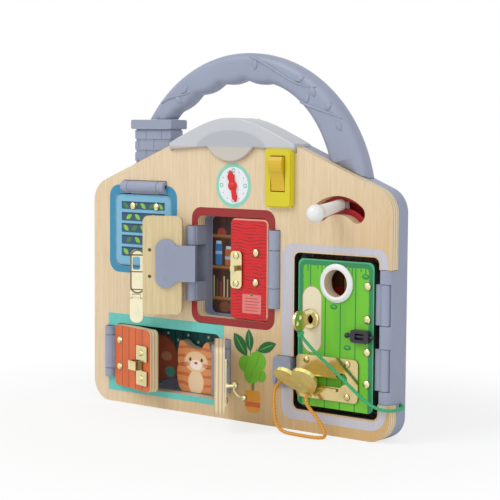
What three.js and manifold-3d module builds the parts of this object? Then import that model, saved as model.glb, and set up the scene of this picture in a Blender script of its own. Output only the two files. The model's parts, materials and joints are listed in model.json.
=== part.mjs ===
// Wooden busy board: a house-shaped plywood front on a moulded case with doors, latches and locks.
// Millimetres, +Z up. The front faces -Y and the base rests on Z = 0.
import * as THREE from 'three';
import { mergeVertices } from 'three/addons/utils/BufferGeometryUtils.js';
import Module from 'manifold-3d';

const wasm = await Module();
wasm.setup();

// Fits: shared clearances and small values
const gap = 0.3; // between pieces that touch
const runGap = 0.45; // between pieces that turn or slide
const doorGap = 0.8; // around a door leaf in its opening
const splitGap = 1.3; // between a pair of leaves, so that one closes past the other
const overrun = 4; // how far a cutter passes through

// House outline
const boardWidth = 300;
const roofSlopeShare = 0.406; // rise over run of the roof
const apexHeight = 245.3;
const shoulderRadius = 20;
const footRadius = 18;
const panelThickness = 9;
const caseDepth = 17;
const caseBackRound = 7;
const caseBackRoundSteps = 3;
const backWall = 2.6;

const boardDepth = panelThickness + caseDepth;
const frontY = -boardDepth / 2;
const panelBackY = frontY + panelThickness;
const caseFrontY = panelBackY + gap;
const caseBackY = boardDepth / 2;
const eaveHeight = apexHeight - (roofSlopeShare * boardWidth) / 2;

// Doors and their hinges
const leafThickness = 8;
const leafRound = 4.5;
const barrelRadius = 4.7;
const barrelProud = 0.5; // barrel axis ahead of the panel face
const axisOffset = 6; // barrel axis beyond the edge of the opening
const pinRadius = 1.6;
const hingePlateThickness = 2.2;
const hingePlateRound = 8.5;
const hingePlateReach = 22;
const hingeRivetInset = 12.5; // rivet row behind the leaf edge
const axisY = frontY - barrelProud;
const plateFrontY = frontY + leafThickness + gap;
const plateBackY = plateFrontY + hingePlateThickness;

// Openings in the panel: left, right, bottom, top, corner radius
const windowHole = { x0: -125.6, x1: -62.4, z0: 117.2, z1: 178.6, r: 7 };
const storeHole = { x0: -34.6, x1: 37.4, z0: 81.6, z1: 163, r: 5 };
const kennelHole = { x0: -124.6, x1: -11, z0: 14.6, z1: 67.8, r: 5 };
const gateHole = { x0: 62, x1: 139.4, z0: 16.8, z1: 138.6, r: 5 };
const storeSplitX = -1;
const kennelSplitX = -68;
const shallowBackY = caseFrontY + 8.6;
const deepBackY = caseBackY - backWall;

// Barrel ends of each hinge along its own axis, and the length of each end knuckle
const storeBarrel = { from: 93.6, to: 154.4, knuckle: 15.3 };
const kennelBarrel = { from: 21.6, to: 64.6, knuckle: 7 };
const windowBarrel = { from: -115.4, to: -68.4, knuckle: 7.2 };
const storePlateHeight = 40;
const kennelPlateHeight = 40;
const windowPlateWidth = 44;

// Rest angles of the leaves that stand open, in degrees
const storeLeftOpen = 150;
const orangeOpen = 16;
const kennelOpen = 128.6;

// Gate hinge in the corner block
const gateAxisX = 143.6;
const gateAxisY = frontY + 4.2;
const gateBarrelRadius = 4.6;
const gatePinRadius = 1.8;
const gateBlockBottom = 29.6;
const gateBlockTop = 129.4;
const gateBlockRound = 5.5;
const gateBlockProud = 0.5;
const gateSideWall = 1.2;
const gateKnuckleLow = { from: 39.2, to: 70.4 };
const gateKnuckleHigh = { from: 88.2, to: 118.6 };
const gateEdgeGap = 4.2; // leaf edge to the block
const gatePlateReach = 24;
const gatePlateHeight = 96;
const gateRivetInset = 5.4;

// Rivets
const rivetRadius = 3.3;
const rivetHeight = 2;
const rivetShank = 1.5;
const rivetSides = 12;

// Handle
const handleOuter = 128.3;
const handleCentreZ = 165.6;
const handleWidth = 23.2;
const handleFootWidth = 37;
const handleDepth = 19;
const handleEdgeRound = 5;
const handleMidY = 3.5;
const fingerCount = 4;
const fingerDepth = 2.6;
const fingerPitch = 14.7; // degrees
const handleLeftAngle = 143.5; // degrees from +X where it meets the chimney cap
const handleRightAngle = 11.5;

// Chimney
const chimneyLeft = -110.6;
const chimneyWidth = 38;
const chimneyDepth = 14;
const chimneyTop = 232.4;
const chimneyCapTop = 240.2;
const chimneyCapProud = 3.2;
const chimneyCapRound = 1.6;
const brickHeight = 8.2;
const brickProud = 0.7;
const brickJoint = 1;
const chimneyFrontY = caseFrontY + 0.6;

// Lamp cap over the ridge
const lampReach = 63; // half length along the ridge
const lampStrip = 4.6; // thickness of the strip over the roof
const lampProud = 3;
const lampTopZ = 242.2;
const lampRidgeRound = 22;
const lampLowZ = 218.6;
const lampDiscRadius = 28.7;
const lampDiscLowZ = 206.8;
const lampBackY = 6.5;
const lampWell = { x0: -15, x1: 15, z0: 212, z1: 226 };
const lampWellDepth = 10;
const lampWellRound = 0.8;
const lampBoardThickness = 1.6;
const lampBoardFoot = 4;
const ledRadius = 2.5;
const ledCount = 3;
const ledPitch = 8;
const ledHeight = 5;

// Clock pointer
const clockX = 1.8;
const clockZ = 188;
const pointerTip = 12.4;
const pointerTail = 13;
const pointerHub = 3.9;
const pointerThickness = 1.8;
const pointerNeck = 1.3;
const pointerAngle = 13; // degrees, leaning left at the top
const axleRadius = 1.9;
const axleHead = 3.4;
const axleHeadThickness = 1.4;

// Lamp switch
const switchX = 49.1;
const switchWidth = 25.4;
const switchBottom = 172.6;
const switchTop = 218;
const switchProud = 5;
const switchRound = 3;
const rockerWidth = 13.2;
const rockerHeight = 27;
const rockerZ = 198.6;
const rockerRise = 3.4;
const rockerDip = 1.1;
const rockerDeep = 9;
const rockerTilt = 7; // degrees

// Lever in its arc slot
const leverX = 102;
const leverPivotZ = 149.4;
const leverPath = 26.7;
const leverSlotWidth = 14;
const leverSlotHalfAngle = 40; // degrees
const leverRestAngle = 6; // degrees to the left
const leverTipRadius = 6.3;
const leverRootRadius = 5.4;
const leverLength = 30;
const leverNeck = 2.3;
const leverArmThickness = 2.2;
const leverArmWidth = 8;
const leverPinRadius = 1.8;
const leverPlateThickness = 1.6;
const leverPlateMargin = 3.4;
const leverWellDepth = 9;

// Locks and latches on the leaves
const sheet = 1.1; // brass sheet
const plateRivetRadius = 2.9;
const plateRivetHeight = 1.7;
const catchPlate = { x0: 0.4, x1: 11.6, z0: 106.6, z1: 136.4 };
const catchHookReach = 5;
const catchHookWidth = 4.2;
const catchHookZ = 122.6;
const haspPlate = { x0: -13.5, x1: -2.2, z0: 106, z1: 137.6 };
const haspPinX = -1.6;
const haspPinRadius = 0.9;
const haspBarrelRadius = 1.9;
const haspStand = 4; // hinge axis ahead of the leaf
const haspWidth = 12.8;
const haspLoopTop = 134;
const haspBottom = 97.6;
const haspKnuckle = { from: 112, to: 124 };
const haspWindow = { inset: 2.2, z0: 117.4, z1: 128 };
const haspThickness = 1.5;
const tabBottom = 73.5;
const tabWidth = 11;
const tabThickness = 1.5;
const tabPinRadius = 0.8;
const tabBarrelRadius = 1.7;
const strikePlate = { x0: -88.2, x1: -72, z0: 20.4, z1: 53.4 };
const strikeNotch = { width: 7.6, z0: 32.6, z1: 40.4 };
const stapleReach = 4.2;
const stapleWidth = 7.6;
const stapleLength = 11.5;
const stapleWall = 1.3;
const hookPlate = { x0: -63, x1: -50, z0: 20, z1: 58 };
const hookPost = { x: -56.5, z: 36, radius: 1.6, height: 9 };
const hookEye = 3;
const hookWire = 1.25;
const hookBall = 2.5;
const hookReach = 7.4; // ball ahead of the eye
const hookDrop = 8.6; // ball below the eye

// Gate fittings
const portX = 101.9;
const portZ = 117.2;
const portOuter = 14.8;
const portInner = 10.4;
const portProud = 2.4;
const lockX = 78.4;
const lockZ = 88.2;
const lockRadius = 7.8;
const lockProud = 2.2;
const lockBarrel = 5.6;
const lockDepth = 12;
const keySlot = 2;
const keyBladeHeight = 6;
const keyBladeThickness = 1.4;
const keyBladeIn = 8;
const keyShoulder = 6.6;
const keyBow = 8;
const keyBowThickness = 2;
const keyBowHole = 2;
const boltX0 = 117.4;
const boltX1 = 133.2;
const boltZ = 79;
const boltHeight = 9.6;
const boltDepth = 4.4;
const boltRodRadius = 1.3;
const boltKnobRadius = 2.2;
const boltLeft = 113.4;
const boltRight = 137.4;
const slidePlate = { x0: 65.8, x1: 122.6, z0: 27.4, z1: 60.6, r: 4 };
const slideSlot = { x0: 72.4, x1: 108.6, z: 41.4, width: 6.8, entry: 4.6 };
const slideRail = 2.2;
const slideRailThickness = 1.8;
const heartStem = 2.5;
const heartWidth = 38;
const heartHeight = 36;
const heartThickness = 2.8;
const heartTilt = 46; // degrees out from the door
const heartTurn = 7; // degrees in its own plane
const heartStand = 15.8;
const heartHead = 4.3; // head of the slider behind the slotted plate
const heartHeadThickness = 1.8;
const heartRecess = 3;
const heartX = 79.6;
const keeper = { x0: 44.6, x1: 63.4, z0: 33.6, z1: 57, r: 4, proud: 3.6 };
const keeperDish = 6.2;

// Cat figure
const catX = -45.6;
const catWidth = 41;
const catHeight = 43.4;
const catThickness = 9;
const catBackGap = 3;

// Battery box in the back
const batteryX = -94;
const batteryZ = 96;
const batteryWidth = 62;
const batteryHeight = 30;
const batteryDepth = 5.4;
const coverThickness = 1.8;
const coverTab = 8;
const coverLip = 2;
const coverRound = 3;

// Cords
const keyCordRadius = 1.25;
const keyCordRoute = [
  [79.4, -28.6, 78.4], [81.8, -27.6, 74.8], [85.6, -26.4, 70.4], [91, -25, 65],
  [97.6, -23.6, 59.4], [104.6, -22.4, 53.6], [111.8, -21.4, 47.8], [119, -20.6, 42],
  [126, -19.8, 36.4], [132.4, -19.2, 31.8], [138.6, -18.6, 28.6], [144.6, -17.8, 26.8],
  [150, -16.4, 26.2], [153.6, -12.6, 26.2], [155, -7.4, 26.6], [154.8, -2.4, 27],
  [152.8, 1, 27.4], [149.6, 2, 27.6], [146.8, 2, 27.6],
];
const keyCordHoleDepth = 5;
const heartCordRadius = 1.35;
const heartCordRoute = [
  [53.3, -15.1, 37], [53.4, -19.6, 36.6], [54, -25, 33.6], [55.6, -29.2, 28], [57.2, -31.2, 21],
  [58.2, -31.8, 13.6], [59.4, -31.2, 8], [62.6, -31, 4], [67.4, -31.4, 2.1],
  [73.6, -32, 1.7], [80.6, -32.6, 1.7], [87.6, -32.9, 1.7], [94, -32.7, 1.7],
  [99, -31.6, 1.8], [101.8, -28.8, 2], [101.2, -25.8, 3], [98.4, -23.6, 6],
  [94.6, -22.4, 10.4], [90.6, -22.6, 15.2], [86.6, -23.6, 19.8], [83.4, -24.4, 24.2],
  [81.6, -23.3, 28], [81.2, -20.6, 31.1],
];

// Colours: sRGB value, roughness, metalness
const finishes = {
  plywood: [0xe2cca8, 0.6, 0],
  greyPlastic: [0x969cb4, 0.45, 0],
  frosted: [0xc8ccd0, 0.35, 0],
  yellow: [0xe0d238, 0.35, 0],
  amber: [0xe2b93a, 0.35, 0],
  red: [0xd2232d, 0.45, 0],
  blue: [0x82bedc, 0.5, 0],
  orange: [0xde7034, 0.5, 0],
  green: [0x73be2d, 0.5, 0],
  brass: [0xdcc88a, 0.25, 1],
  steel: [0xc8c8c8, 0.3, 1],
  white: [0xf0f0ee, 0.35, 0],
  black: [0x2b2b30, 0.45, 0],
  board: [0x2f6b46, 0.6, 0],
  greenCord: [0x3caa6e, 0.8, 0],
  orangeCord: [0xdc9632, 0.8, 0],
};

const radians = THREE.MathUtils.degToRad;

// Solids and booleans

function solidOf(geometry) {
  const bare = geometry.clone();
  bare.deleteAttribute('normal');
  bare.deleteAttribute('uv');
  const merged = mergeVertices(bare, 1e-4);
  const mesh = new wasm.Mesh({
    numProp: 3,
    vertProperties: new Float32Array(merged.attributes.position.array),
    triVerts: new Uint32Array(merged.index.array),
  });
  return new wasm.Manifold(mesh);
}

function geometryOf(solid) {
  const mesh = solid.getMesh();
  const geometry = new THREE.BufferGeometry();
  geometry.setAttribute('position', new THREE.BufferAttribute(new Float32Array(mesh.vertProperties), 3));
  geometry.setIndex(new THREE.BufferAttribute(new Uint32Array(mesh.triVerts), 1));
  geometry.computeVertexNormals();
  return geometry;
}

function join(first, ...others) {
  return others.reduce((sum, solid) => sum.add(solid), first);
}

function cut(first, ...others) {
  return others.reduce((rest, solid) => rest.subtract(solid), first);
}

function box(x0, x1, y0, y1, z0, z1) {
  const geometry = new THREE.BoxGeometry(x1 - x0, y1 - y0, z1 - z0);
  geometry.translate((x0 + x1) / 2, (y0 + y1) / 2, (z0 + z1) / 2);
  return solidOf(geometry);
}

// A shape drawn in X and Z, extruded along Y from y0 to y1
function slab(shape, y0, y1, segments = 5) {
  const options = { depth: y1 - y0, bevelEnabled: false, curveSegments: segments };
  const geometry = new THREE.ExtrudeGeometry(shape, options);
  geometry.rotateX(Math.PI / 2);
  geometry.translate(0, y1, 0);
  return solidOf(geometry);
}

// A shape drawn in X and Y, extruded along Z from z0 to z1
function column(shape, z0, z1, segments = 4) {
  const options = { depth: z1 - z0, bevelEnabled: false, curveSegments: segments };
  const geometry = new THREE.ExtrudeGeometry(shape, options);
  geometry.translate(0, 0, z0);
  return solidOf(geometry);
}

function rodAlong(axis, radius, from, to, a, b, sides = 16) {
  const geometry = new THREE.CylinderGeometry(radius, radius, to - from, sides);
  const middle = (from + to) / 2;
  if (axis === 'x') geometry.rotateZ(Math.PI / 2).translate(middle, a, b);
  if (axis === 'y') geometry.translate(a, middle, b);
  if (axis === 'z') geometry.rotateX(Math.PI / 2).translate(a, b, middle);
  return solidOf(geometry);
}

// A closed polygon whose corners are rounded, each point [x, y, radius]
function roundedPolygon(points) {
  const shape = new THREE.Shape();
  const count = points.length;
  points.forEach(([x, y, radius], i) => {
    const here = new THREE.Vector2(x, y);
    const before = new THREE.Vector2(...points[(i + count - 1) % count]).sub(here).normalize();
    const after = new THREE.Vector2(...points[(i + 1) % count]).sub(here).normalize();
    const half = Math.acos(THREE.MathUtils.clamp(before.dot(after), -1, 1)) / 2;
    const enter = here.clone().addScaledVector(before, radius / Math.tan(half));
    if (i === 0) shape.moveTo(enter.x, enter.y);
    else shape.lineTo(enter.x, enter.y);
    if (radius === 0) return;
    const leave = here.clone().addScaledVector(after, radius / Math.tan(half));
    const inward = before.clone().add(after).normalize();
    const centre = here.clone().addScaledVector(inward, radius / Math.sin(half));
    const clockwise = before.cross(after) > 0;
    const start = Math.atan2(enter.y - centre.y, enter.x - centre.x);
    const end = Math.atan2(leave.y - centre.y, leave.x - centre.x);
    shape.absarc(centre.x, centre.y, radius, start, end, clockwise);
  });
  shape.closePath();
  return shape;
}

function roundedBox(x0, x1, z0, z1, radius) {
  return roundedPolygon([[x0, z0, radius], [x1, z0, radius], [x1, z1, radius], [x0, z1, radius]]);
}

function holeShape(hole, grow = 0) {
  return roundedBox(hole.x0 - grow, hole.x1 + grow, hole.z0 - grow, hole.z1 + grow, hole.r + grow);
}

// The house outline, drawn in by an inset all round
function houseShape(inset = 0) {
  const half = boardWidth / 2 - inset;
  const slant = Math.hypot(1, roofSlopeShare);
  const apex = apexHeight - inset * slant;
  const eave = apex - roofSlopeShare * half;
  return roundedPolygon([
    [-half, inset, footRadius - inset], [half, inset, footRadius - inset],
    [half, eave, shoulderRadius - inset], [0, apex, 0], [-half, eave, shoulderRadius - inset],
  ]);
}

function roofAt(x) {
  return apexHeight - roofSlopeShare * Math.abs(x);
}

// A domed rivet head with its shank, its underside at faceY, looking along -Y
function rivet(x, z, faceY, radius = rivetRadius, height = rivetHeight, shank = 0) {
  const profile = [new THREE.Vector2(0, 0), new THREE.Vector2(radius, 0)];
  const domeSteps = 3;
  for (let i = 1; i < domeSteps; i += 1) {
    const angle = (i / domeSteps) * (Math.PI / 2);
    profile.push(new THREE.Vector2(radius * Math.cos(angle), height * Math.sin(angle)));
  }
  profile.push(new THREE.Vector2(0, height));
  const head = new THREE.LatheGeometry(profile, rivetSides);
  head.rotateX(Math.PI);
  head.translate(x, faceY, z);
  const dome = solidOf(head);
  if (shank === 0) return dome;
  return join(dome, rodAlong('y', rivetShank, faceY - height / 2, faceY + shank, x, z, rivetSides));
}

const board = new THREE.Group();

function place(parent, name, solid, finish) {
  const [color, roughness, metalness] = finishes[finish];
  const material = new THREE.MeshStandardMaterial({ color, roughness, metalness });
  const mesh = new THREE.Mesh(geometryOf(solid), material);
  mesh.name = name;
  parent.add(mesh);
}

// Hinges: the sections of a knuckle, drawn round its axis at zero
// Side is +1 where the leaf lies toward +X of the axis, and -1 where it lies toward -X

function barrelSection(side, armEnd, backY) {
  const shape = new THREE.Shape();
  shape.moveTo(-side * barrelRadius, 0);
  shape.absarc(0, 0, barrelRadius, side > 0 ? Math.PI : 0, side > 0 ? 2 * Math.PI : -Math.PI, side < 0);
  shape.lineTo(side * armEnd, 0);
  shape.lineTo(side * armEnd, backY);
  shape.lineTo(-side * barrelRadius, backY);
  shape.closePath();
  return shape;
}

function knuckle(side, from, to, armEnd, backY) {
  const round = column(barrelSection(side, armEnd, backY), from, to, 6);
  return cut(round, rodAlong('z', pinRadius + gap, from - overrun, to + overrun, 0, 0, 12));
}

function sectionY(worldY) {
  return worldY - axisY;
}

// The two end knuckles, moulded on the case
function fixedKnuckles(side, barrel) {
  const armEnd = axisOffset - gap;
  const backY = sectionY(caseFrontY) + overrun;
  const low = knuckle(side, barrel.from, barrel.from + barrel.knuckle, armEnd, backY);
  const high = knuckle(side, barrel.to - barrel.knuckle, barrel.to, armEnd, backY);
  return join(low, high);
}

// The moving knuckle with its arm and the pill-shaped plate behind the leaf
function hingeLeaf(side, barrel, plateHeight) {
  const from = barrel.from + barrel.knuckle + runGap;
  const to = barrel.to - barrel.knuckle - runGap;
  const arm = knuckle(side, from, to, axisOffset, sectionY(plateBackY));
  const reach = axisOffset + hingePlateReach;
  const middle = (from + to) / 2;
  const band = box(
    Math.min(-side * barrelRadius, side * (reach - hingePlateRound)),
    Math.max(-side * barrelRadius, side * (reach - hingePlateRound)),
    sectionY(plateFrontY), sectionY(plateBackY), from, to);
  const pillX = side * (reach - hingePlateRound);
  const pill = slab(
    roundedBox(pillX - hingePlateRound, pillX + hingePlateRound,
      middle - plateHeight / 2, middle + plateHeight / 2, hingePlateRound),
    sectionY(plateFrontY), sectionY(plateBackY), 4);
  return join(arm, band, pill);
}

function hingePin(barrel) {
  return rodAlong('z', pinRadius, barrel.from + gap, barrel.to - gap, 0, 0, 12);
}

// Space that the knuckles and the swinging arm need in the panel and the case
function hingeNotch(side, barrel, y0, y1) {
  const across = barrelRadius + runGap;
  const edge = axisOffset + overrun;
  const x0 = side > 0 ? -across : -edge;
  const x1 = side > 0 ? edge : across;
  return box(x0, x1, y0, y1, barrel.from - runGap, barrel.to + runGap);
}

// Where each upright hinge stands
const uprightHinges = {
  storeLeft: { x: storeHole.x0 - axisOffset, side: 1, barrel: storeBarrel },
  storeRight: { x: storeHole.x1 + axisOffset, side: -1, barrel: storeBarrel },
  orange: { x: kennelHole.x0 - axisOffset, side: 1, barrel: kennelBarrel },
  kennel: { x: kennelHole.x1 + axisOffset, side: -1, barrel: kennelBarrel },
};
const windowAxisZ = windowHole.z1 + axisOffset;

// Turns a hinge made round the Z axis, leaf toward +X, into the window's: axis along X, leaf downward
function toWindow(solid) {
  return solid.rotate([0, 90, 0]).translate([0, axisY, windowAxisZ]);
}

// Front panel

function leverArc(halfWidth, grow = 0) {
  const shape = new THREE.Shape();
  const reach = radians(leverSlotHalfAngle);
  const up = Math.PI / 2;
  const width = halfWidth + grow;
  const capAt = (angle) => [
    leverX + leverPath * Math.cos(angle), leverPivotZ + leverPath * Math.sin(angle)];
  shape.absarc(leverX, leverPivotZ, leverPath + width, up - reach, up + reach, false);
  shape.absarc(...capAt(up + reach), width, up + reach, up + reach + Math.PI, false);
  shape.absarc(leverX, leverPivotZ, leverPath - width, up + reach, up - reach, true);
  shape.absarc(...capAt(up - reach), width, up - reach + Math.PI, up - reach + 2 * Math.PI, false);
  shape.closePath();
  return shape;
}

function lampWellShape() {
  return roundedBox(lampWell.x0, lampWell.x1, lampWell.z0, lampWell.z1, lampWellRound);
}

// The strip of roof that the lamp cap takes over
function lampSaddle(y0, y1) {
  const low = lampStrip + gap;
  const end = lampReach + gap;
  const shape = new THREE.Shape();
  shape.moveTo(-end, roofAt(end) - low);
  shape.lineTo(0, apexHeight - low - lampStrip);
  shape.lineTo(end, roofAt(end) - low);
  shape.lineTo(end, apexHeight + overrun);
  shape.lineTo(-end, apexHeight + overrun);
  shape.closePath();
  return slab(shape, y0, y1);
}

function frontPanel() {
  const y0 = frontY - overrun;
  const y1 = panelBackY + overrun;
  const plain = slab(houseShape(), frontY, panelBackY, 5);
  const holes = [windowHole, storeHole, kennelHole, gateHole].map((hole) => slab(holeShape(hole), y0, y1, 3));
  const notches = Object.values(uprightHinges).map(
    ({ x, side, barrel }) => hingeNotch(side, barrel, y0, y1).translate([x, 0, 0]));
  const windowNotch = toWindow(hingeNotch(1, windowBarrel, y0 - axisY, y1 - axisY));
  const block = box(
    gateHole.x1 - overrun, boardWidth / 2 + overrun, y0, y1,
    gateBlockBottom - gap, gateBlockTop + gap);
  const keeperNotch = slab(
    roundedBox(keeper.x0 - gap, gateHole.x0 + overrun, keeper.z0 - gap, keeper.z1 + gap, keeper.r), y0, y1, 3);
  const leverSlot = slab(leverArc(leverSlotWidth / 2), y0, y1, 10);
  const clockBore = rodAlong('y', axleRadius + gap, y0, y1, clockX, clockZ, 12);
  const switchBore = box(
    switchX - rockerWidth / 2 - runGap, switchX + rockerWidth / 2 + runGap, y0, y1,
    rockerZ - rockerHeight / 2 - runGap, rockerZ + rockerHeight / 2 + runGap);
  const lightBore = slab(lampWellShape(), y0, y1, 2);
  return cut(
    plain, ...holes, ...notches, windowNotch, block, keeperNotch, leverSlot,
    clockBore, switchBore, lightBore, lampSaddle(y0, y1));
}

// Moulded case

function caseShell() {
  const layers = [slab(houseShape(), caseFrontY, caseBackY - caseBackRound, 5)];
  for (let i = 0; i < caseBackRoundSteps; i += 1) {
    const low = radians((90 * i) / caseBackRoundSteps);
    const high = radians((90 * (i + 1)) / caseBackRoundSteps);
    const start = caseBackY - caseBackRound + caseBackRound * Math.sin(low);
    const end = caseBackY - caseBackRound + caseBackRound * Math.sin(high);
    const inset = caseBackRound * (1 - Math.cos((low + high) / 2));
    layers.push(slab(houseShape(inset), start - (i === 0 ? gap : 0), end, 5));
  }
  return join(...layers);
}

function hingeRelief() {
  const y0 = caseFrontY - overrun;
  const y1 = axisY + Math.hypot(plateBackY - axisY, barrelRadius) + runGap;
  const spaces = Object.values(uprightHinges).map(({ x, side, barrel }) => {
    const middle = {
      from: barrel.from + barrel.knuckle + runGap, to: barrel.to - barrel.knuckle - runGap };
    return hingeNotch(side, middle, y0, y1).translate([x, 0, 0]);
  });
  const flap = {
    from: windowBarrel.from + windowBarrel.knuckle + runGap,
    to: windowBarrel.to - windowBarrel.knuckle - runGap };
  return [...spaces, toWindow(hingeNotch(1, flap, y0 - axisY, y1 - axisY))];
}

// Corner block of the gate hinge: three fixed knuckles with two pockets between them
function gateBlock() {
  const right = boardWidth / 2;
  const front = frontY - gateBlockProud;
  const section = roundedPolygon([
    [gateHole.x1 + gap, front, gateBlockRound / 3], [right, front, gateBlockRound],
    [right, caseFrontY + overrun, 0], [gateHole.x1 + gap, caseFrontY + overrun, 0]]);
  const solid = column(section, gateBlockBottom, gateBlockTop, 4);
  const pockets = [gateKnuckleLow, gateKnuckleHigh].map(({ from, to }) => box(
    gateHole.x1 - overrun, right - gateSideWall, front - overrun, plateBackY + runGap,
    from - runGap, to + runGap));
  const sideNotches = [gateKnuckleLow, gateKnuckleHigh].map(({ from, to }) => box(
    gateHole.x1, right + overrun, front - overrun, frontY + gateSideWall, from - runGap, to + runGap));
  return { solid, cuts: [...pockets, ...sideNotches] };
}

function keeperBlock() {
  const body = slab(
    roundedBox(keeper.x0, gateHole.x0 - gap, keeper.z0, keeper.z1, keeper.r), frontY - keeper.proud,
    caseFrontY + overrun, 3);
  const dishX = (keeper.x0 + gateHole.x0) / 2;
  const dish = rodAlong(
    'y', keeperDish, frontY - keeper.proud - overrun, frontY - keeper.proud / 2, dishX, keeper.z0 + keeperDish / 2, 16);
  return cut(body, dish);
}

function backCase() {
  const gate = gateBlock();
  let solid = join(caseShell(), gate.solid, keeperBlock());
  Object.values(uprightHinges).forEach(({ x, side, barrel }) => {
    solid = solid.add(fixedKnuckles(side, barrel).translate([x, axisY, 0]));
  });
  solid = solid.add(toWindow(fixedKnuckles(1, windowBarrel)));
  const y0 = caseFrontY - overrun;
  const shallow = [windowHole, storeHole].map((hole) => slab(holeShape(hole), caseFrontY, shallowBackY, 3));
  const deep = [kennelHole, gateHole].map((hole) => slab(holeShape(hole), caseFrontY, deepBackY, 3));
  const gateBore = rodAlong(
    'z', gatePinRadius + gap, gateBlockBottom - overrun, gateBlockTop + overrun, gateAxisX, gateAxisY, 12);
  const leverWell = slab(leverWellShape(runGap), y0, caseFrontY + leverWellDepth, 8);
  const clockWell = rodAlong(
    'y', axleHead + runGap, y0, caseFrontY + axleHeadThickness * 2, clockX, clockZ, 16);
  const rockerWell = box(
    switchX - rockerWidth / 2 - runGap, switchX + rockerWidth / 2 + runGap, y0,
    caseFrontY + rockerDeep, rockerZ - rockerHeight / 2 - runGap, rockerZ + rockerHeight / 2 + runGap);
  const lightWell = slab(lampWellShape(), y0, caseFrontY + lampWellDepth, 2);
  const batteryBox = box(
    batteryX - batteryWidth / 2, batteryX + batteryWidth / 2, caseBackY - coverThickness - batteryDepth,
    caseBackY + overrun, batteryZ - batteryHeight / 2, batteryZ + batteryHeight / 2);
  return cut(
    solid, ...gate.cuts, ...shallow, ...deep, ...hingeRelief(), gateBore,
    leverWell, clockWell, rockerWell, lightWell, batteryBox, coverSeat(gap),
    lampSaddle(y0, lampBackY + gap), leverPinSolid(gap), keyCordHole());
}

// Bore in the side of the case that holds the end of the key cord
function keyCordHole() {
  const [, y, z] = keyCordRoute[keyCordRoute.length - 1];
  const half = boardWidth / 2;
  return rodAlong('x', keyCordRadius + gap * 2, half - keyCordHoleDepth, half + overrun, y, z, 12);
}

// Battery cover: a plate with a thumb ramp, set flush in the back
function coverOutline(grow) {
  return roundedBox(
    batteryX - batteryWidth / 2 - coverLip - grow, batteryX + batteryWidth / 2 + coverLip + grow,
    batteryZ - batteryHeight / 2 - coverLip - grow, batteryZ + batteryHeight / 2 + coverLip + grow, coverRound);
}

function coverSeat(grow) {
  return slab(coverOutline(grow), caseBackY - coverThickness - grow, caseBackY + overrun, 3);
}

function batteryCover() {
  const plate = slab(coverOutline(0), caseBackY - coverThickness, caseBackY, 3);
  const ribs = [-1, 0, 1].map((i) => box(
    batteryX - coverTab, batteryX + coverTab, caseBackY - coverThickness / 3, caseBackY + overrun,
    batteryZ + i * coverTab - coverLip / 2, batteryZ + i * coverTab + coverLip / 2));
  return cut(plate, ...ribs);
}

// Handle: an arched grip with finger lobes under its crown, wider at the right foot

function handleInnerRadius(angle) {
  const fromTop = angle - 90;
  const foot = THREE.MathUtils.smoothstep(-fromTop, 38, 90);
  const base = handleOuter - THREE.MathUtils.lerp(handleWidth, handleFootWidth, foot);
  const span = (fingerCount * fingerPitch) / 2;
  if (Math.abs(fromTop) >= span) return base;
  const phase = ((fromTop + span) / fingerPitch) % 1;
  return base + fingerDepth * (1 - Math.sin(Math.PI * phase)) - fingerDepth / 2;
}

function handleOutline(inset) {
  const steps = 60;
  const shape = new THREE.Shape();
  const at = (radius, degrees) => [
    radius * Math.cos(radians(degrees)), handleCentreZ + radius * Math.sin(radians(degrees))];
  for (let i = 0; i <= steps; i += 2) {
    const angle = THREE.MathUtils.lerp(handleRightAngle, handleLeftAngle, i / steps);
    const [x, z] = at(handleOuter - inset, angle);
    if (i === 0) shape.moveTo(x, z);
    else shape.lineTo(x, z);
  }
  for (let i = steps; i >= 0; i -= 1) {
    const angle = THREE.MathUtils.lerp(handleRightAngle, handleLeftAngle, i / steps);
    const [x, z] = at(handleInnerRadius(angle) + inset, angle);
    shape.lineTo(x, z);
  }
  shape.closePath();
  return shape;
}

function carryHandle() {
  const y0 = handleMidY - handleDepth / 2;
  const y1 = handleMidY + handleDepth / 2;
  const step = handleEdgeRound / 2;
  const core = slab(handleOutline(0), y0 + handleEdgeRound, y1 - handleEdgeRound);
  const middle = slab(handleOutline(step * 0.35), y0 + step * 0.8, y1 - step * 0.8);
  const thin = slab(handleOutline(step * 1.1), y0, y1);
  const whole = join(core, middle, thin);
  const roofLine = new THREE.Shape();
  roofLine.moveTo(0, roofAt(0) + gap);
  roofLine.lineTo(boardWidth / 2, roofAt(boardWidth / 2) + gap);
  roofLine.lineTo(boardWidth / 2, 0);
  roofLine.lineTo(0, 0);
  const below = slab(roofLine, y0 - overrun, y1 + overrun);
  const capLine = box(
    -boardWidth / 2, 0, y0 - overrun, y1 + overrun, 0, chimneyCapTop + gap);
  return cut(whole, below, capLine);
}

// Chimney: brick courses and a round-edged cap that carries the left foot of the handle
function chimney() {
  const right = chimneyLeft + chimneyWidth;
  const backY = chimneyFrontY + chimneyDepth;
  let solid = box(chimneyLeft, right, chimneyFrontY, backY, roofAt(chimneyLeft) - overrun, chimneyTop + overrun);
  for (let z = chimneyTop - brickHeight; z > roofAt(chimneyLeft) - overrun; z -= brickHeight + brickJoint) {
    solid = solid.add(box(
      chimneyLeft - brickProud, right + brickProud, chimneyFrontY - brickProud, backY + brickProud,
      z, z + brickHeight - brickJoint));
  }
  const capShape = roundedBox(
    chimneyLeft - chimneyCapProud, right + chimneyCapProud, chimneyTop, chimneyCapTop, chimneyCapRound);
  solid = solid.add(slab(capShape, chimneyFrontY - chimneyCapProud, backY + chimneyCapProud, 3));
  const roofLine = new THREE.Shape();
  roofLine.moveTo(-boardWidth / 2, roofAt(boardWidth / 2) + gap);
  roofLine.lineTo(0, roofAt(0) + gap);
  roofLine.lineTo(0, 0);
  roofLine.lineTo(-boardWidth / 2, 0);
  return cut(solid, slab(roofLine, frontY - overrun, caseBackY + overrun));
}

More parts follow.
